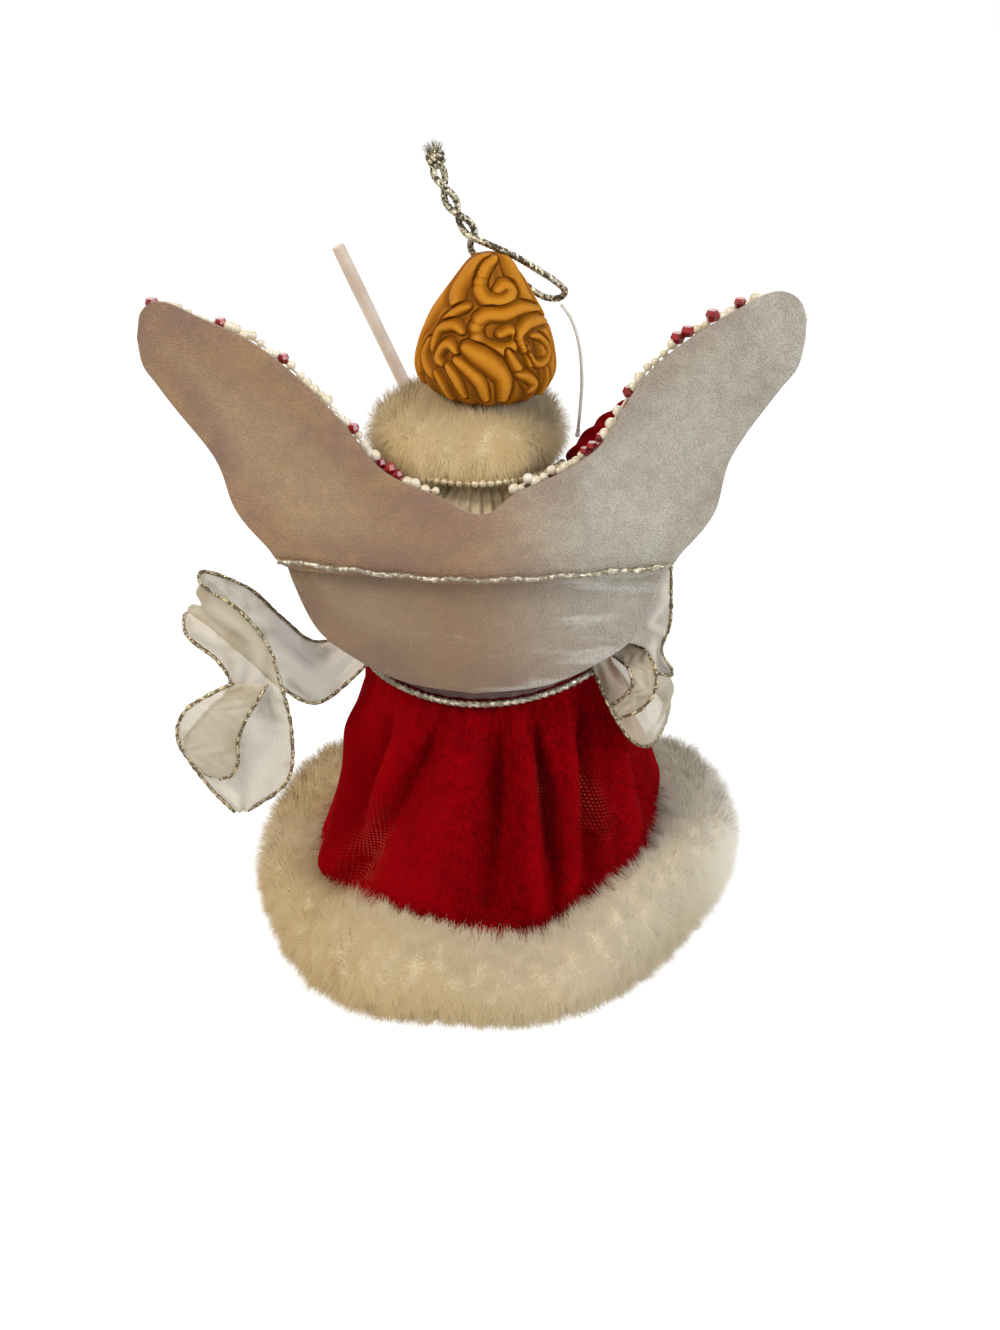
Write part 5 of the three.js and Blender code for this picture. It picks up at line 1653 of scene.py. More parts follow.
@dataclass
class Head:
    """The painted face and the carved hair."""

    skull: tuple = (12.0, 12.4, 12.2)
    skull_height: float = 26.5
    skull_forward: float = 0.5
    hair_back: float = 1.0
    hair_nape: float = 13.4
    hair_crown: float = 45.4
    hair_widest: float = 15.3
    face_half_width: float = 9.8
    face_bottom: float = 9.0
    face_top: float = 36.5
    carve: float = 2.3
    lock_gain: float = 1.45
    outline: tuple = (
        (0.62, 0), (0.9, 0.09), (1, 0.21), (0.96, 0.36), (0.83, 0.54), (0.65, 0.69), (0.46, 0.84),
        (0.34, 0.93), (0.19, 0.985), (0.02, 1),
    )
    # Locks, each laid over those before it: half width, then stops as direction in degrees and height.
    # The locks beside the face are mirrored.
    face_locks: tuple = (
        (2.4, (370, 45), (385, 40), (388, 34), (382, 30), (385, 20)),
        (2.4, (350, 44), (368, 39), (375, 33), (370, 26), (378, 17)),
        (2.4, (325, 44), (342, 39), (352, 32), (350, 24), (355, 17)),
        (2.4, (300, 44), (318, 40), (332, 34), (336, 26), (330, 17)),
        (2.4, (278, 43), (295, 39), (312, 34), (318, 27), (314, 20), (320, 15)),
    )
    back_locks: tuple = (
        (2.7, (64, 45.2), (42, 42.5), (35, 38.8), (47, 35.7)),
        (2.5, (165, 44.6), (158, 42), (160, 38.6), (165, 35.6)),
        (1.5, (109, 45), (80, 42.7), (76, 40), (86, 37.7), (103, 36.9), (123, 37.4), (135, 39), (122, 40),
         (107, 39.1)),
        (1.5, (180, 34), (141, 35.4), (113, 34.5), (92, 34.2), (83, 32.4), (86, 29.5), (99, 27.8),
         (115, 27.8), (125, 29.6), (121, 31.4), (108, 30.8)),
        (1.15, (69, 35.5), (57, 34.5), (46, 32.6), (39, 30.4)),
        (1.25, (70, 30.7), (60, 31.5), (50, 31), (41, 29.3), (41, 26.9), (47, 24.9)),
        (1.15, (68, 26.5), (59, 27.7), (52, 26.5), (50, 24.5), (56, 23.4)),
        (1.4, (33, 27), (31, 24.2), (38, 21.7), (51, 20)),
        (1.0, (51, 21.3), (58, 18.7), (63, 15.6)),
        (1.15, (62, 23.3), (71, 20.7), (78, 17.1)),
        (1.4, (69, 24.9), (81, 23.3), (92, 20.4), (97, 16.7)),
        (2.05, (76, 27.7), (90, 26.2), (103, 24.2), (112, 21.2), (113, 17)),
        (1.15, (115, 27.4), (120, 25.3), (127, 22.6), (138, 18.4)),
        (1.15, (130, 29.5), (135, 26.9), (136, 24.2)),
        (1.0, (141, 30.2), (157, 28.9), (166, 26.1), (156, 24.1), (142, 24.4), (137, 26.4)),
        (1.15, (124, 22.5), (133, 21.7), (142, 19.5), (136, 18.3)),
        (1.1, (156, 22.6), (158, 19.7), (158, 16.3)),
        (1.4, (185, 31.1), (163, 32.3), (139, 32), (128, 29.9), (131, 27.5)),
    )

    def build(self, workshop: Workshop) -> None:
        """Makes the hair and the face."""
        self._hair(workshop)
        self._face(workshop)

    def _hair(self, workshop: Workshop) -> None:
        """A pear-shaped surface, carved into locks that lie over one another, and drawn in round the face.

        Across each lock the relief is a parabola: one minus most of the square of the distance to the lock's
        middle line over its half width, which leaves a groove along its rim. Locks narrow towards their ends.
        """
        columns, rows = 420, 240
        size = [self.hair_widest, self.hair_crown - self.hair_nape]
        radius, height = (smooth_path(self.outline, rows) * size).T
        height = height + self.hair_nape
        share = np.linspace(0.0, 1.0, rows)[:, None]
        tall, radius_at = height[:, None], radius[:, None]
        angle = turns(columns)[None]
        plain = around(radius_at, angle, tall)
        relief = 0.5 + 0.12 * np.sin(16.0 * angle + 1.5 * np.sin(0.3 * tall)) + 0.0 * tall
        mirrored = [
            (wide, *((540.0 - turn, level) for turn, level in stops)) for wide, *stops in self.face_locks
        ]
        for wide, *stops in (*self.face_locks, *mirrored, *self.back_locks):
            turn, level = smooth_path(stops, 48).T
            line = around(np.interp(level, height, radius), np.radians(turn), level)
            taper = np.sqrt(np.sin(np.pi * np.linspace(0.03, 0.97, len(line))))
            half = self.lock_gain * wide * (0.4 + 0.6 * taper)
            off = (np.linalg.norm(plain[..., None, :] - line, axis=-1) / half).min(axis=-1)
            ridge = np.clip(1.0 - 0.8 * off**2, 0.0, 1.0)
            relief = mix(relief, ridge, ease(1.12, 0.9, off))
        relief = mix(relief, 0.6, ease(0.05, 0.0, share) + ease(0.96, 1.0, share))
        reach = np.maximum(radius_at + self.carve * (relief - 0.75), 0.04 * radius_at)
        x = reach * np.cos(angle)
        y = self.hair_back + reach * np.sin(angle)
        middle = 0.5 * (self.face_top + self.face_bottom)
        oval = np.hypot(x / self.face_half_width, (tall - middle) / (self.face_top - middle))
        shows = ease(1.03, 0.95, oval) * ease(-3.0, -4.5, y)
        sunk = 0.55 * self.skull[1]
        inward = np.minimum(1.0, sunk / np.maximum(np.hypot(x, y - self.hair_back), 1e-3))
        x = x * mix(1.0, inward, shows)
        y = self.hair_back + (y - self.hair_back) * mix(1.0, inward, shows)
        points = in_head(stack(x, y, tall + 0.0 * angle))
        shell = Shell.tube(points)
        values = {"relief": np.concatenate([relief.ravel(), [0.3, 0.6]])}
        piece = shell.outward().make("carved_hair", values)
        workshop.place(piece, Body.FIGURE, HairResin, "hair_resin", ("hair",))

    def _face(self, workshop: Workshop) -> None:
        """A ball drawn down to a chin, with closed lids, a nose and lips added as small bells, and a neck.

        Proportions are the usual ones: eyes at half the height of the head, the nose halfway from there
        to the chin, and the mouth a third of the way from nose to chin.
        """
        columns, rows = 220, 150
        latitude = np.linspace(-np.pi / 2, np.pi / 2, rows + 2)[1:-1, None]
        turn = turns(columns)[None]
        x, y = np.cos(latitude) * np.cos(turn), np.cos(latitude) * np.sin(turn)
        z = np.sin(latitude) + 0.0 * turn
        low, front = np.maximum(0.0, -z), np.maximum(0.0, -y)
        ahead = ease(0.45, 0.85, front)
        nose = 1.9 * bell(x, 0.085) * bell(z + 0.26, 0.11) + 0.8 * bell(x, 0.07) * bell(z + 0.08, 0.16)
        nose = nose * ahead
        nostril = 0.5 * bell(np.abs(x) - 0.12, 0.06) * bell(z + 0.31, 0.06) * ahead
        socket = 0.8 * bell(np.abs(x) - 0.36, 0.17) * bell(z - 0.02, 0.12) * ahead
        lid = 0.6 * bell(np.abs(x) - 0.36, 0.11) * bell(z, 0.065) * ahead
        brow = 0.35 * bell(np.abs(x) - 0.34, 0.2) * bell(z - 0.2, 0.08) * ahead
        mouth = bell(x, 0.17) * ahead
        upper_lip, lower_lip = 0.55 * bell(z + 0.5, 0.045), 0.6 * bell(z + 0.6, 0.05)
        lips = mouth * (upper_lip + lower_lip - 0.3 * bell(z + 0.548, 0.018))
        cheek = 0.5 * bell(np.abs(x) - 0.48, 0.22) * bell(z + 0.3, 0.2) * ahead
        chin = 0.7 * bell(x, 0.2) * bell(z + 0.84, 0.12) * ease(0.2, 0.6, front)
        features = nose + nostril + lips + lid + brow + cheek + chin - socket
        points = stack(
            self.skull[0] * x * (1.0 - 0.3 * low * low),
            self.skull[1] * y * (1.0 - 0.12 * low * low) - features - self.skull_forward,
            self.skull[2] * z - 2.0 * low * front + self.skull_height,
        )
        arc = 0.02 - 0.055 * bell(np.abs(x) - 0.36, 0.14)
        lash = bell(z - arc + 0.02, 0.014) * ease(0.16, 0.12, np.abs(np.abs(x) - 0.36)) * ahead
        hairs = bell(z - 0.17 - 0.04 * bell(np.abs(x) - 0.36, 0.14), 0.022)
        hairs = 0.6 * hairs * ease(0.2, 0.13, np.abs(np.abs(x) - 0.37)) * ahead
        red = np.clip(1.6 * mouth * (bell(z + 0.5, 0.035) + bell(z + 0.59, 0.045)), 0.0, 1.0)
        paint = {
            "lines": np.clip(lash + hairs, 0.0, 1.0),
            "lips": red * ease(0.24, 0.17, np.abs(x)),
            "blush": bell(np.abs(x) - 0.5, 0.2) * bell(z + 0.3, 0.17) * ahead,
        }
        skull = Shell.tube(in_head(points)).outward()
        neck_path = in_head(stack(0.0, 0.0, np.linspace(0.8, 19.0, 20)))
        neck = swept(neck_path, np.linspace(4.9, 4.5, 20), (0.0, 1.0, 0.0), 48)
        extra = 2 + len(neck.points)
        values = {key: np.concatenate([number.ravel(), np.zeros(extra)]) for key, number in paint.items()}
        piece = Shell.joined([skull, neck]).make("painted_face", values)
        workshop.place(piece, Body.FIGURE, FaceResin, "face_resin", ("head",))


# Arms


@dataclass
class Arm:
    """One wire arm: sleeve, cuff and hand, and the candle on the left."""

    side: Side
    body: Body
    stops: tuple
    towards: Triple
    reference: Triple
    sleeve: float = 7.6
    sleeve_crest: float = 2.4
    wrist: float = 4.6
    cap: float = 5.0
    cuff_ring: float = 5.2
    cuff_tube: float = 2.7
    cuff_strands: int = 9000
    palm: tuple = (3.3, 1.8, 3.7)
    palm_reach: float = 9.6
    finger: float = 0.85
    finger_length: float = 5.4
    candle: float = 1.6
    candle_below: float = 9.0
    candle_above: float = 69.0

    def __post_init__(self) -> None:
        """Lays the arm's path and its wrist's frame: Z along the forearm, X as near to towards as can be."""
        self.path = smooth_path(self.stops, 90)
        forward = unit(self.path[-1] - self.path[-2])
        aim = np.asarray(self.towards, float)
        across = unit(aim - forward * (aim @ forward))
        self.axes = np.stack([across, np.cross(forward, across), forward])
        self.label = self.side.label

    def at_wrist(self, points: np.ndarray) -> np.ndarray:
        """Points of the wrist's frame in the frame of the part."""
        return points @ self.axes + self.path[-1]

    def build(self, workshop: Workshop) -> None:
        """Makes the pieces of the arm."""
        self._sleeve(workshop)
        self._cuff(workshop)
        self._hand(workshop)
        if self.side is Side.LEFT:
            self._candle(workshop)
        workshop.keep(f"arm_wire_{self.label}", SteelWire)

    def _sleeve(self, workshop: Workshop) -> None:
        """A tube that swells from the shoulder and narrows to the wrist, creased across its length."""
        share = np.linspace(0.0, 1.0, len(self.path))
        radius = mix(mix(self.cap, self.sleeve, ease(0.0, 0.16, share)), self.wrist, ease(0.45, 1.0, share))
        turn = turns(56)[None]
        crease = np.sin(46.0 * share[:, None] + 1.8 * np.sin(2.0 * turn + 5.0 * share[:, None]))
        fade = ease(0.03, 0.15, share)[:, None] * ease(1.0, 0.9, share)[:, None]
        rough = radius[:, None] + 0.32 * crease * fade - 0.2
        shell = swept(self.path, rough, self.reference, 56)
        # Painted light: the whole sleeve is lightened as a fold crest would be
        values = {"crest": np.full(len(shell.points), self.sleeve_crest)}
        piece = shell.make(f"velvet_sleeve_{self.label}", values, sharp=60.0)
        workshop.place(piece, self.body, Velvet, "velvet", (f"sleeve_{self.label}",))

    def _cuff(self, workshop: Workshop) -> None:
        """A small fur ring round the wrist."""
        pile = Pile(length=2.0, width=0.13, clump_size=4.0)
        angle = turns(64)[:, None]
        turn = turns(20)[None]
        thick = self.cuff_tube - 0.4 * pile.length + 0.0 * turn
        height = self.cuff_tube + 0.3 + thick * np.sin(turn)
        ring = around(self.cuff_ring + thick * np.cos(turn), angle, height)
        trim = FurTrim(f"cuff_{self.label}", self.body, pile, self.cuff_strands)
        trim.build(workshop, self.at_wrist(ring), seed=40 + self.side.value)

    def _hand(self, workshop: Workshop) -> None:
        """A palm and wrist with fingers: wrapped round the candle on the left, open on the right."""
        path = stack(0.0, 0.0, np.linspace(0.3, self.palm_reach, 12))
        wrist = swept(path, np.linspace(2.3, 2.0, 12), (0.0, 1.0, 0.0), 24)
        palm = ball(28, 16)
        palm.points = palm.points * self.palm + [0.0, 0.0, self.palm_reach]
        row = np.linspace(-0.72, 0.72, 4) * self.palm[0]
        paths = self._grip(row) if self.side is Side.LEFT else self._open(row)
        fingers = [self._finger(stops) for stops in paths]
        shell = Shell.joined([wrist, palm, *fingers])
        shell.points = self.at_wrist(shell.points)
        bare = {key: np.zeros(len(shell.points)) for key in ("lines", "lips", "blush")}
        piece = shell.outward().make(f"painted_hand_{self.label}", bare)
        workshop.place(piece, self.body, FaceResin, "face_resin", (f"hand_{self.label}",))

    def _finger(self, stops: np.ndarray) -> Shell:
        """One finger: a tube that is round at its tip."""
        path = smooth_path(stops, 18)
        share = np.linspace(0.0, 1.0, 18)
        tip = np.sqrt(np.clip(1.0 - ease(0.8, 1.06, share) ** 2, 0.04, 1.0))
        radius = self.finger * mix(1.05, 0.85, share) * tip
        return swept(path, radius, (1.0, 0.05, 0.02) if self.side is Side.LEFT else (0.0, 1.0, 0.0), 12)

    def _grip(self, row: np.ndarray) -> list[np.ndarray]:
        """Finger paths on an arc round the candle, whose axis lies along X beside the palm."""
        offset = self.palm[1] + PATTERN.gap + self.candle
        wrap = self.candle + PATTERN.gap + self.finger
        plan = [(x, 10.0, 215.0) for x in row] + [(1.35 * self.palm[0], -15.0, -170.0)]
        paths = []
        for x, start, end in plan:
            bend = np.radians(np.linspace(start, end, 7))
            paths.append(stack(x, offset - wrap * np.cos(bend), self.palm_reach + wrap * np.sin(bend)))
        return paths

    def _open(self, row: np.ndarray) -> list[np.ndarray]:
        """Straight finger paths side by side, and a thumb."""
        root = self.palm_reach + 0.45 * self.palm[2]
        reach = self.finger_length - np.array([1.0, 0.0, 0.0, 1.0])
        paths = [
            np.array([[0.8 * x, 0.0, root], [x, -0.3, root + 0.5 * long], [1.15 * x, -0.9, root + long]])
            for x, long in zip(row, reach)
        ]
        low = self.palm_reach
        return paths + [np.array([[1.5, 0.0, low - 1.0], [3.8, -0.8, low + 0.6], [4.8, -1.4, low + 3.0]])]

    def _candle(self, workshop: Workshop) -> None:
        """A slim stick with softened ends, very slightly uneven in thickness."""
        offset = self.palm[1] + PATTERN.gap + self.candle
        length = self.candle_below + self.candle_above
        end = np.array([0.0, 0.15, 0.45])
        along = np.concatenate([end, np.linspace(1.0, length - 1.0, 90), length - end[::-1]])
        radius = self.candle * np.ones(len(along))
        radius[[0, -1]], radius[[1, -2]] = 0.86 * self.candle, 0.95 * self.candle
        radius[3:-3] += 0.04 * np.sin(0.21 * along[3:-3])
        shell = swept(stack(along - self.candle_below, offset, self.palm_reach), radius, (0.0, 1.0, 0.0), 40)
        shell.points = self.at_wrist(shell.points)
        piece = shell.outward().make("candle_stick", sharp=40.0)
        workshop.place(piece, self.body, CandleWax, "candle_plastic", ("candle",))


def arms() -> list[Arm]:
    """Both arms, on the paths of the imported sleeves."""
    shoulder, start = PATTERN.shoulder_height, PATTERN.shoulder_half_width + 2.0 * PATTERN.gap
    lean = np.radians(22.8)
    left = (
        (start, 0, shoulder), (start + 3, 0, shoulder), (29, -1, shoulder - 2), (36, -4, shoulder - 12),
        (37.5, -7, shoulder - 25.5), (33, -14.5, shoulder - 26.3), (18.3, -27.5, shoulder - 20.2),
    )
    right = (
        (-start, 0, shoulder), (-start - 3, 0, shoulder), (-28, -3.5, shoulder + 4.5),
        (-34, -8, shoulder + 9), (-42, -14, shoulder + 13), (-48, -20.5, shoulder + 17),
    )
    return [
        Arm(Side.LEFT, Body.LEFT_ARM, left, (np.sin(lean), 0.0, np.cos(lean)), (0.35, 0.8, 0.5)),
        Arm(Side.RIGHT, Body.RIGHT_ARM, right, (1.0, 0.0, 0.0), (0.0, 0.6, 0.8)),
    ]


# Ribbons


@dataclass
class Ribbon:
    """A wired organza ribbon between two edges, with a glitter wire on each."""

    side: Side
    pairs: tuple
    flat: tuple[float, float]
    loop: tuple
    thickness: float = 0.3
    wire: float = 0.42
    pleats: int = 2
    pleat_limit: float = 0.7
    clearance: float = 0.5

    def build(self, workshop: Workshop) -> None:
        """Makes the ribbon, its loop and the wires along their edges."""
        label = self.side.label
        strips = [self._strip(self.pairs, self.pleat_limit), self._strip(self.loop, 0.0)]
        piece = Shell.joined([cloth for cloth, _ in strips]).make(f"organza_ribbon_{label}", sharp=60.0)
        node = f"ribbon_{label}"
        workshop.place(piece, Body.FIGURE, Organza, "organza", (node,))
        edges = Shell.joined([wires for _, wires in strips]).make(f"ribbon_wire_{label}")
        workshop.place(edges, Body.FIGURE, GlitterEdge, "organza", (node,))

    def _strip(self, pairs: tuple, pleat_limit: float) -> tuple[Shell, Shell]:
        """One length of ribbon.

        The cloth runs straight from edge to edge, and where they come nearer than its full width, the spare
        width stands in lengthwise pleats: a sine whose arc is as long as the cloth is wide.

        Args:
            pairs: places on both edges, one pair after the other.
            pleat_limit: greatest height of a pleat.

        Returns:
            The cloth, and the wires along its edges.
        """
        count = 220
        first, second = (smooth_path([pair[edge] for pair in pairs], count) for edge in (0, 1))
        share = np.linspace(0.0, 1.0, 25)[None, :, None]
        sheet = mix(first[:, None], second[:, None], share)
        normal = unit(np.cross(np.gradient(sheet, axis=0), np.gradient(sheet, axis=1)))
        along = np.linspace(0.0, 1.0, count)[:, None]
        across = share[..., 0]
        width = np.linalg.norm(second - first, axis=1)[:, None]
        spare = np.clip(self.flat[0] / MM / width, 1.0, 2.4) - 1.0
        height = np.minimum(width / (np.pi * self.pleats) * np.sqrt(spare), pleat_limit)
        height = height * ease(0.0, 0.12, along) + 0.25
        wander = 0.35 * np.sin(TURN * 2.3 * along) + 0.2 * np.sin(TURN * 5.0 * along + 1.0)
        fade = np.sqrt(np.sin(np.pi * across).clip(0.0))
        ripple = height * np.sin(TURN * (self.pleats * across + wander)) * fade
        middle = sheet + normal * ripple[..., None]
        half = 0.5 * self.thickness * normal
        turn = turns(8)[None]
        wires = []
        for edge in (first, second):
            radius = self.wire * (1.0 + 0.2 * lumps(edge, 1.8, 9)[:, None] + 0.0 * turn)
            wires.append(swept(edge, radius, (0.25, 0.9, 0.2), 8))
        return Shell.slab(middle - half, middle + half).outward(), Shell.joined(wires)


def on_sash(degrees: float, height: float) -> Triple:
    """A place for a ribbon on the outside of the sash."""
    angle = np.radians(degrees)
    radius = PATTERN.sash_radius(height, angle) + PATTERN.sash_thickness + PATTERN.gap + Ribbon.clearance
    return tuple(around(radius, angle, np.array(height)).tolist())


def on_facing(x: float, z: float) -> Triple:
    """A place for a ribbon on the front of the wings."""
    depth = float(PATTERN.wing_depth(np.array(x))) - PATTERN.wing_facing - PATTERN.gap
    return (x, depth - Ribbon.clearance, z)


def ribbons() -> list[Ribbon]:
    """Both ribbons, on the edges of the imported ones."""
    left = (
        (on_sash(6, 76.5), on_sash(24, 71.4)), ((40, 8, 74), (39, 18, 62.8)),
        ((46.5, 13, 82.4), (46, 20, 67.4)), ((53, 17, 92), (56, 20.5, 78)),
        ((62, 21, 97.6), (66.6, 21.5, 87.5)), ((61.6, 25.2, 96.8), (66.2, 25.4, 84)),
        ((52.3, 28.5, 91.5), (58.5, 28.4, 78.5)), ((46.3, 30.5, 84.5), (55.6, 30.6, 73.5)),
        ((43.4, 32.5, 75.5), (61.5, 33, 67.5)), ((41.4, 34.5, 64), (67, 34.2, 59.5)),
        ((42.7, 37, 52.8), (61.6, 37, 50.9)), ((52.4, 38.4, 45), (55.6, 38.5, 44.6)),
    )
    right = (
        (on_sash(174, 76.5), on_sash(155, 71.4)), ((-36, 9.5, 73), (-31, 20, 63)),
        ((-40, 11.5, 70), (-35.5, 19.5, 55.5)), ((-44, 9, 67.5), (-39.9, 14, 51.6)),
        ((-44.5, 6.8, 67.5), (-43.5, 8, 58)), ((-42, 6.3, 72), (-33, 6, 70)),
        ((-43.8, 11, 82), (-29.5, 12.5, 86)), (on_facing(-43.8, 99), on_facing(-33.5, 98.5)),
    )
    ring = (
        ((-33.1, 13.5, 77.9), (-30.6, 13.5, 74.7)), ((-38.2, 18, 78.4), (-33, 18, 75.3)),
        ((-40.6, 21, 75.4), (-35, 21, 74.3)), ((-40.7, 22, 70.3), (-35.5, 22, 71.5)),
        ((-37.3, 21.5, 64.8), (-33.6, 21.5, 68.1)), ((-32.7, 20.5, 62), (-30.9, 20.5, 65.4)),
    )
    loop = (
        ((46, 33.6, 75.8), (53.9, 33.6, 75.9)), ((48.5, 36.2, 72.3), (60.1, 36.2, 73.5)),
        ((50.9, 38.5, 68.6), (64.2, 38.5, 71.3)), ((52.8, 39.3, 63.8), (66.5, 39.3, 66.8)),
        ((53.2, 39.5, 58.7), (66.1, 39.5, 62)), ((55.1, 39.1, 55), (62.9, 39.1, 56.4)),
        ((58.2, 38.5, 53.5), (60, 38.5, 54)),
    )
    return [Ribbon(Side.LEFT, left, (0.0254, 0.108), loop), Ribbon(Side.RIGHT, right, (0.0254, 0.06), ring)]


# Cords


@dataclass
class HangingCord:
    """The metallic hanging cord in two strands, its frayed knot, and the nylon thread over its bend."""

    cord: float = 0.75
    thread: float = 0.4
    knot: float = 2.3
    tuft: int = 150
    knot_middle: tuple = (7.5, 0.0, 184.8)
    bar: tuple[float, float] = (3.2, 0.55)
    twist_radius: float = 1.1
    twist_turns: float = 1.25
    twist_axis: tuple = ((-0.2, -0.2, 168.2), (2.2, 0, 171.6), (4.9, 0, 176.4), (7.1, 0, 182.2))
    short: tuple = ((-2.9, -10.1, 160), (-0.4, -10.3, 160.6), (1.5, -8.6, 163.0), (1.2, -4.6, 166.2))
    long: tuple = (
        (-3.9, -10.1, 159.9), (-6.8, -10.8, 158.2), (-10.6, -11.9, 154.2), (-14.2, -12.3, 151.8),
        (-17.4, -12.2, 151.6), (-18.9, -10.9, 153.4), (-17.2, -8.6, 156.1), (-13.9, -5.6, 159.2),
        (-9.4, -2.6, 162.9), (-4.9, -0.4, 165.7),
    )
    tag: tuple = (
        (-17.9, -12.4, 150.1), (-20.2, -11.9, 146.8), (-22, -11, 141.0), (-22.6, -10.2, 133),
        (-22.2, -9.6, 126.4), (-21.6, -9.6, 120.6),
    )

    def _twisted(self, start: float) -> np.ndarray:
        """One strand of the twist: a screw round the twist's axis, from a starting angle in degrees."""
        axis = smooth_path(self.twist_axis, 9)
        _, side, up = frames(axis, (0.0, 1.0, 0.0))
        turn = np.radians(start) + TURN * self.twist_turns * np.linspace(0.0, 1.0, 9)[:, None]
        return axis + self.twist_radius * (side * np.cos(turn) + up * np.sin(turn))

    def build(self, workshop: Workshop) -> None:
        knot = self._knot(workshop)
        strands = (("short", self.short, -90.0, []), ("long", self.long, 90.0, [knot]))
        for name, stops, start, carried in strands:
            path = smooth_path([*stops, *self._twisted(start), self.knot_middle], 260)
            piece = self._strand(path).make(f"hanging_strand_{name}")
            workshop.place(piece, Body.FIGURE, SilverBraid, "silver_cord", (f"hanging_cord_{name}",))
            self._declare(path, carried)
        path = smooth_path(self.tag, 120)
        end = path[-1]
        length, radius = self.bar
        bar_path = stack(end[0], end[1] + np.linspace(-length / 2, length / 2, 12), end[2])
        bar = swept(bar_path, np.full(12, radius), (0.0, 0.0, 1.0), 12)
        line = swept(path, np.full(120, self.thread), (0.0, 1.0, 0.0), 12)
        piece = line.make("nylon_line")
        workshop.place(piece, Body.FIGURE, Nylon, "nylon", ("tag_thread",))
        end_bar = bar.make("nylon_end_bar")
        workshop.place(end_bar, Body.FIGURE, Nylon, "nylon", ("tag_thread",))
        self._declare(path, [end_bar])

    def _declare(
        self, path: np.ndarray, carried: list
    ) -> None:
        """Works out the length of a cord's path and lists the carried pieces; neither is used."""
        length = float(np.linalg.norm(np.diff(path, axis=0), axis=1).sum()) * MM
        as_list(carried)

    def _strand(self, path: np.ndarray) -> Shell:
        """A braid: a tube whose radius follows two sets of plaits that wind opposite ways."""
        run = np.concatenate([[0.0], np.cumsum(np.linalg.norm(np.diff(path, axis=0), axis=1))])[:, None]
        turn = turns(20)[None]
        plait = np.cos(2.0 * turn + 3.4 * run) * np.cos(2.0 * turn - 3.4 * run)
        return swept(path, self.cord * (0.92 + 0.16 * plait), (0.1, 1.0, 0.15), 20)

    def _knot(self, workshop: Workshop) -> bpy.types.Object:
        """A pulled knot, lumpy with turns of cord, and a frayed tuft above it."""
        knot = ball(48, 30)
        winds = np.sin(5.0 * np.arctan2(knot.points[:, 1], knot.points[:, 0]) + 7.0 * knot.points[:, 2])
        knot.points = knot.points * (0.82 + 0.14 * winds)[:, None] * self.knot + self.knot_middle
        rng = np.random.default_rng(50)
        count = self.tuft
        aim = unit(rng.normal((0.25, 0.0, 0.75), 0.5, (count, 3)))
        roots = np.asarray(self.knot_middle) + 0.6 * self.knot * aim
        fray, _ = Pile(length=2.3, rise=0.85, comb=0.0).grow(roots, aim, rng)
        piece = Shell.joined([knot, fray]).make("hanging_knot_tuft")
        return workshop.place(piece, Body.FIGURE, SilverBraid, "silver_cord", ("hanging_knot",))


# Stage


@dataclass(frozen=True)
class Shot:
    """The photograph's viewpoint: degrees, millimetres, and focal pixels of a 1330-pixel frame."""

    aim: tuple = (-2.9, 0.0, 64.7)
    azimuth: float = 186.4
    elevation: float = 26.8
    roll: float = -1.74
    distance: float = 420.0
    focal: float = 1731.0
    frame_height: float = 1330.0
    sensor: float = 36.0

    def place(self) -> None:
        """Creates the camera: it looks back along a direction given by azimuth and elevation, then rolls."""
        turn, rise, roll = np.radians([self.azimuth, self.elevation, self.roll])
        back = np.array([np.sin(turn) * np.cos(rise), -np.cos(turn) * np.cos(rise), np.sin(rise)])
        level = unit(np.cross(-back, [0.0, 0.0, 1.0]))
        up = np.cross(level, -back)
        across = np.cos(roll) * level + np.sin(roll) * up
        upward = -np.sin(roll) * level + np.cos(roll) * up
        spot = (np.asarray(self.aim) + self.distance * back) * MM
        data = bpy.data.cameras.new("viewpoint")
        data.sensor_width = self.sensor
        data.lens = self.focal * self.sensor / self.frame_height
        data.clip_start = 0.01
        camera = bpy.data.objects.new("viewpoint", data)
        rows = np.column_stack([across, upward, back, spot])
        camera.matrix_world = Matrix([*rows.tolist(), [0.0, 0.0, 0.0, 1.0]])
        bpy.context.scene.collection.objects.link(camera)
        bpy.context.scene.camera = camera


@dataclass(frozen=True)
class Lamp:
    """A soft square lamp that looks at the object."""

    name: str
    spot: Triple
    power: float
    size: float
    color: Triple
    aim: Triple = (0.0, 0.0, 0.08)

    def place(self) -> None:
        """Creates the lamp, turned towards the middle of the object."""
        data = bpy.data.lights.new(self.name, "AREA")
        data.energy, data.size, data.color = self.power, self.size, self.color
        lamp = bpy.data.objects.new(self.name, data)
        back = unit(np.asarray(self.spot) - np.asarray(self.aim))
        level = unit(np.cross([0.0, 0.0, 1.0], back))
        rows = np.column_stack([level, np.cross(back, level), back, self.spot])
        lamp.matrix_world = Matrix([*rows.tolist(), [0.0, 0.0, 0.0, 1.0]])
        bpy.context.scene.collection.objects.link(lamp)


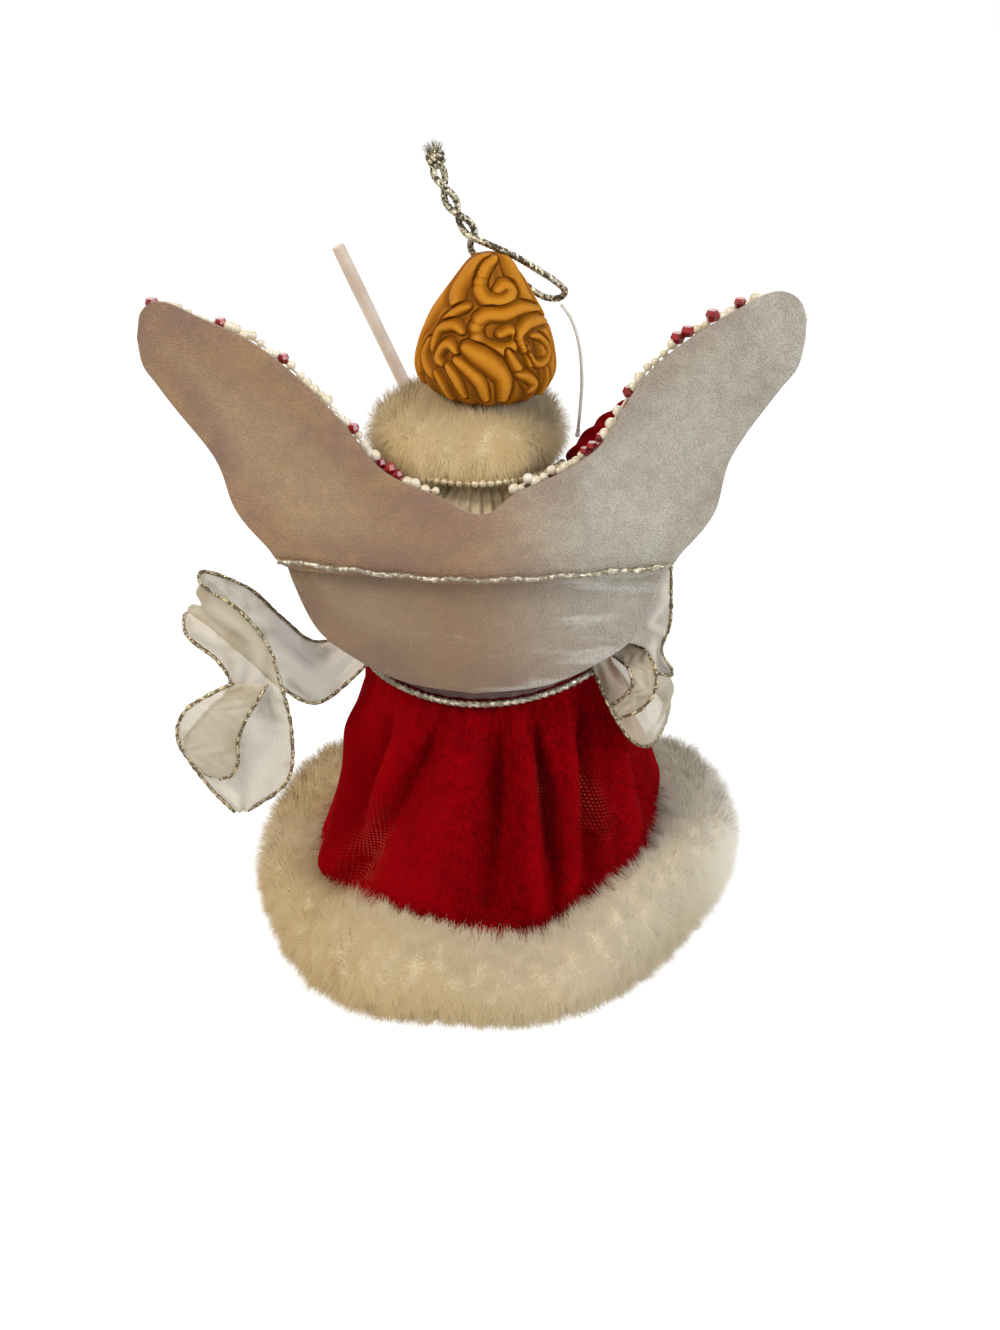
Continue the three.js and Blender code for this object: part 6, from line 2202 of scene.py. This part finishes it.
class Studio:
    """The plain pale floor, the white surround and the lamps."""

    lamps = (
        Lamp("key", (0.66, 0.46, 0.98), 8.2, 0.45, (1.0, 0.9, 0.76)),
        Lamp("fill", (-1.0, 0.4, 0.6), 7.8, 0.6, (0.93, 0.97, 1.0)),
        Lamp("front", (0.1, -0.9, 0.6), 2.4, 0.7, (1.0, 1.0, 1.0)),
    )
    surround = 0.36
    floor_half = 3.0
    floor_drop = 0.3
    floor_glow = 1.22

    def build(self) -> None:
        """Sets the view transform, the world, the floor and the lamps."""
        scene = bpy.context.scene
        scene.view_settings.view_transform = "Standard"
        self._world(scene)
        self._floor()
        for lamp in self.lamps:
            lamp.place()

    def _world(self, scene: bpy.types.Scene) -> None:
        """White to the camera and in reflections, and a plain level as light."""
        world = bpy.data.worlds.new("surround")
        scene.world = world
        world.use_nodes = True
        graph = Graph(world.node_tree)
        path = graph.add("ShaderNodeLightPath")
        seen = graph.math("MAXIMUM", path.outputs["Is Camera Ray"], path.outputs["Is Glossy Ray"])
        seen = graph.math("MAXIMUM", seen, path.outputs["Is Transmission Ray"])
        strength = graph.spread(seen, 0.0, 1.0, (self.surround, 1.0))
        light = graph.add("ShaderNodeBackground", {"Color": (1.0, 1.0, 1.0, 1.0), "Strength": strength})
        graph.add("ShaderNodeOutputWorld", {"Surface": light.outputs[0]})

    def _floor(self) -> None:
        """A wide pale plane just under the object, lifted towards white for the camera, under its shadows."""
        corner = np.array([[-1.0, -1.0], [1.0, -1.0], [1.0, 1.0], [-1.0, 1.0]]) * self.floor_half / MM
        grid = np.column_stack([corner, np.full(4, -self.floor_drop)])
        floor = Shell(grid, [np.array([[0, 1, 2, 3]])], [np.zeros((1, 4, 2))]).make("floor")
        material = bpy.data.materials.new("pale_floor")
        material.use_nodes = True
        graph = Graph(material.node_tree)
        matt = graph.add("ShaderNodeBsdfDiffuse", {"Color": (0.94, 0.94, 0.93, 1.0)})
        glow = graph.add("ShaderNodeEmission", {"Color": (1.0, 1.0, 1.0, 1.0), "Strength": self.floor_glow})
        seen = graph.add("ShaderNodeLightPath").outputs["Is Camera Ray"]
        share = graph.spread(seen, 0.0, 1.0, (0.0, 0.75))
        blend = graph.add("ShaderNodeMixShader", {0: share, 1: matt.outputs[0], 2: glow.outputs[0]})
        graph.add("ShaderNodeOutputMaterial", {"Surface": blend.outputs[0]})
        floor.data.materials.append(material)
        floor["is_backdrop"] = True


def write_sizes(packed: tuple, dressed: tuple) -> None:
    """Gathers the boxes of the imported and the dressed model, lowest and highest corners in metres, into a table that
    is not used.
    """
    boxes = {name: [list(map(float, corner)) for corner in box] for name, box in (("cad", packed), ("visual", dressed))}


def main() -> None:
    """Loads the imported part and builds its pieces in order."""
    logging.basicConfig(level=logging.INFO, format="%(name)s: %(message)s")
    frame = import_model()
    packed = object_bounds()
    Shot().place()
    workshop = Workshop(Wardrobe(), frame["nodes"])
    HangingCord().build(workshop)
    Studio().build()
    for node, finish in (
        ("body_cone", Card), ("neck_plug", TurnedWood), ("shoulder_wire", SteelWire),
        ("crown_eye", SteelWire),
    ):
        workshop.keep(node, finish)
    Skirt().build(workshop)
    HemFur().build(workshop)
    Bodice().build(workshop)
    CollarFur().build(workshop)
    Wings().build(workshop)
    Head().build(workshop)
    for arm in arms():
        arm.build(workshop)
    for ribbon in ribbons():
        ribbon.build(workshop)
    write_sizes(packed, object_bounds())


if __name__ == "__main__":
    main()
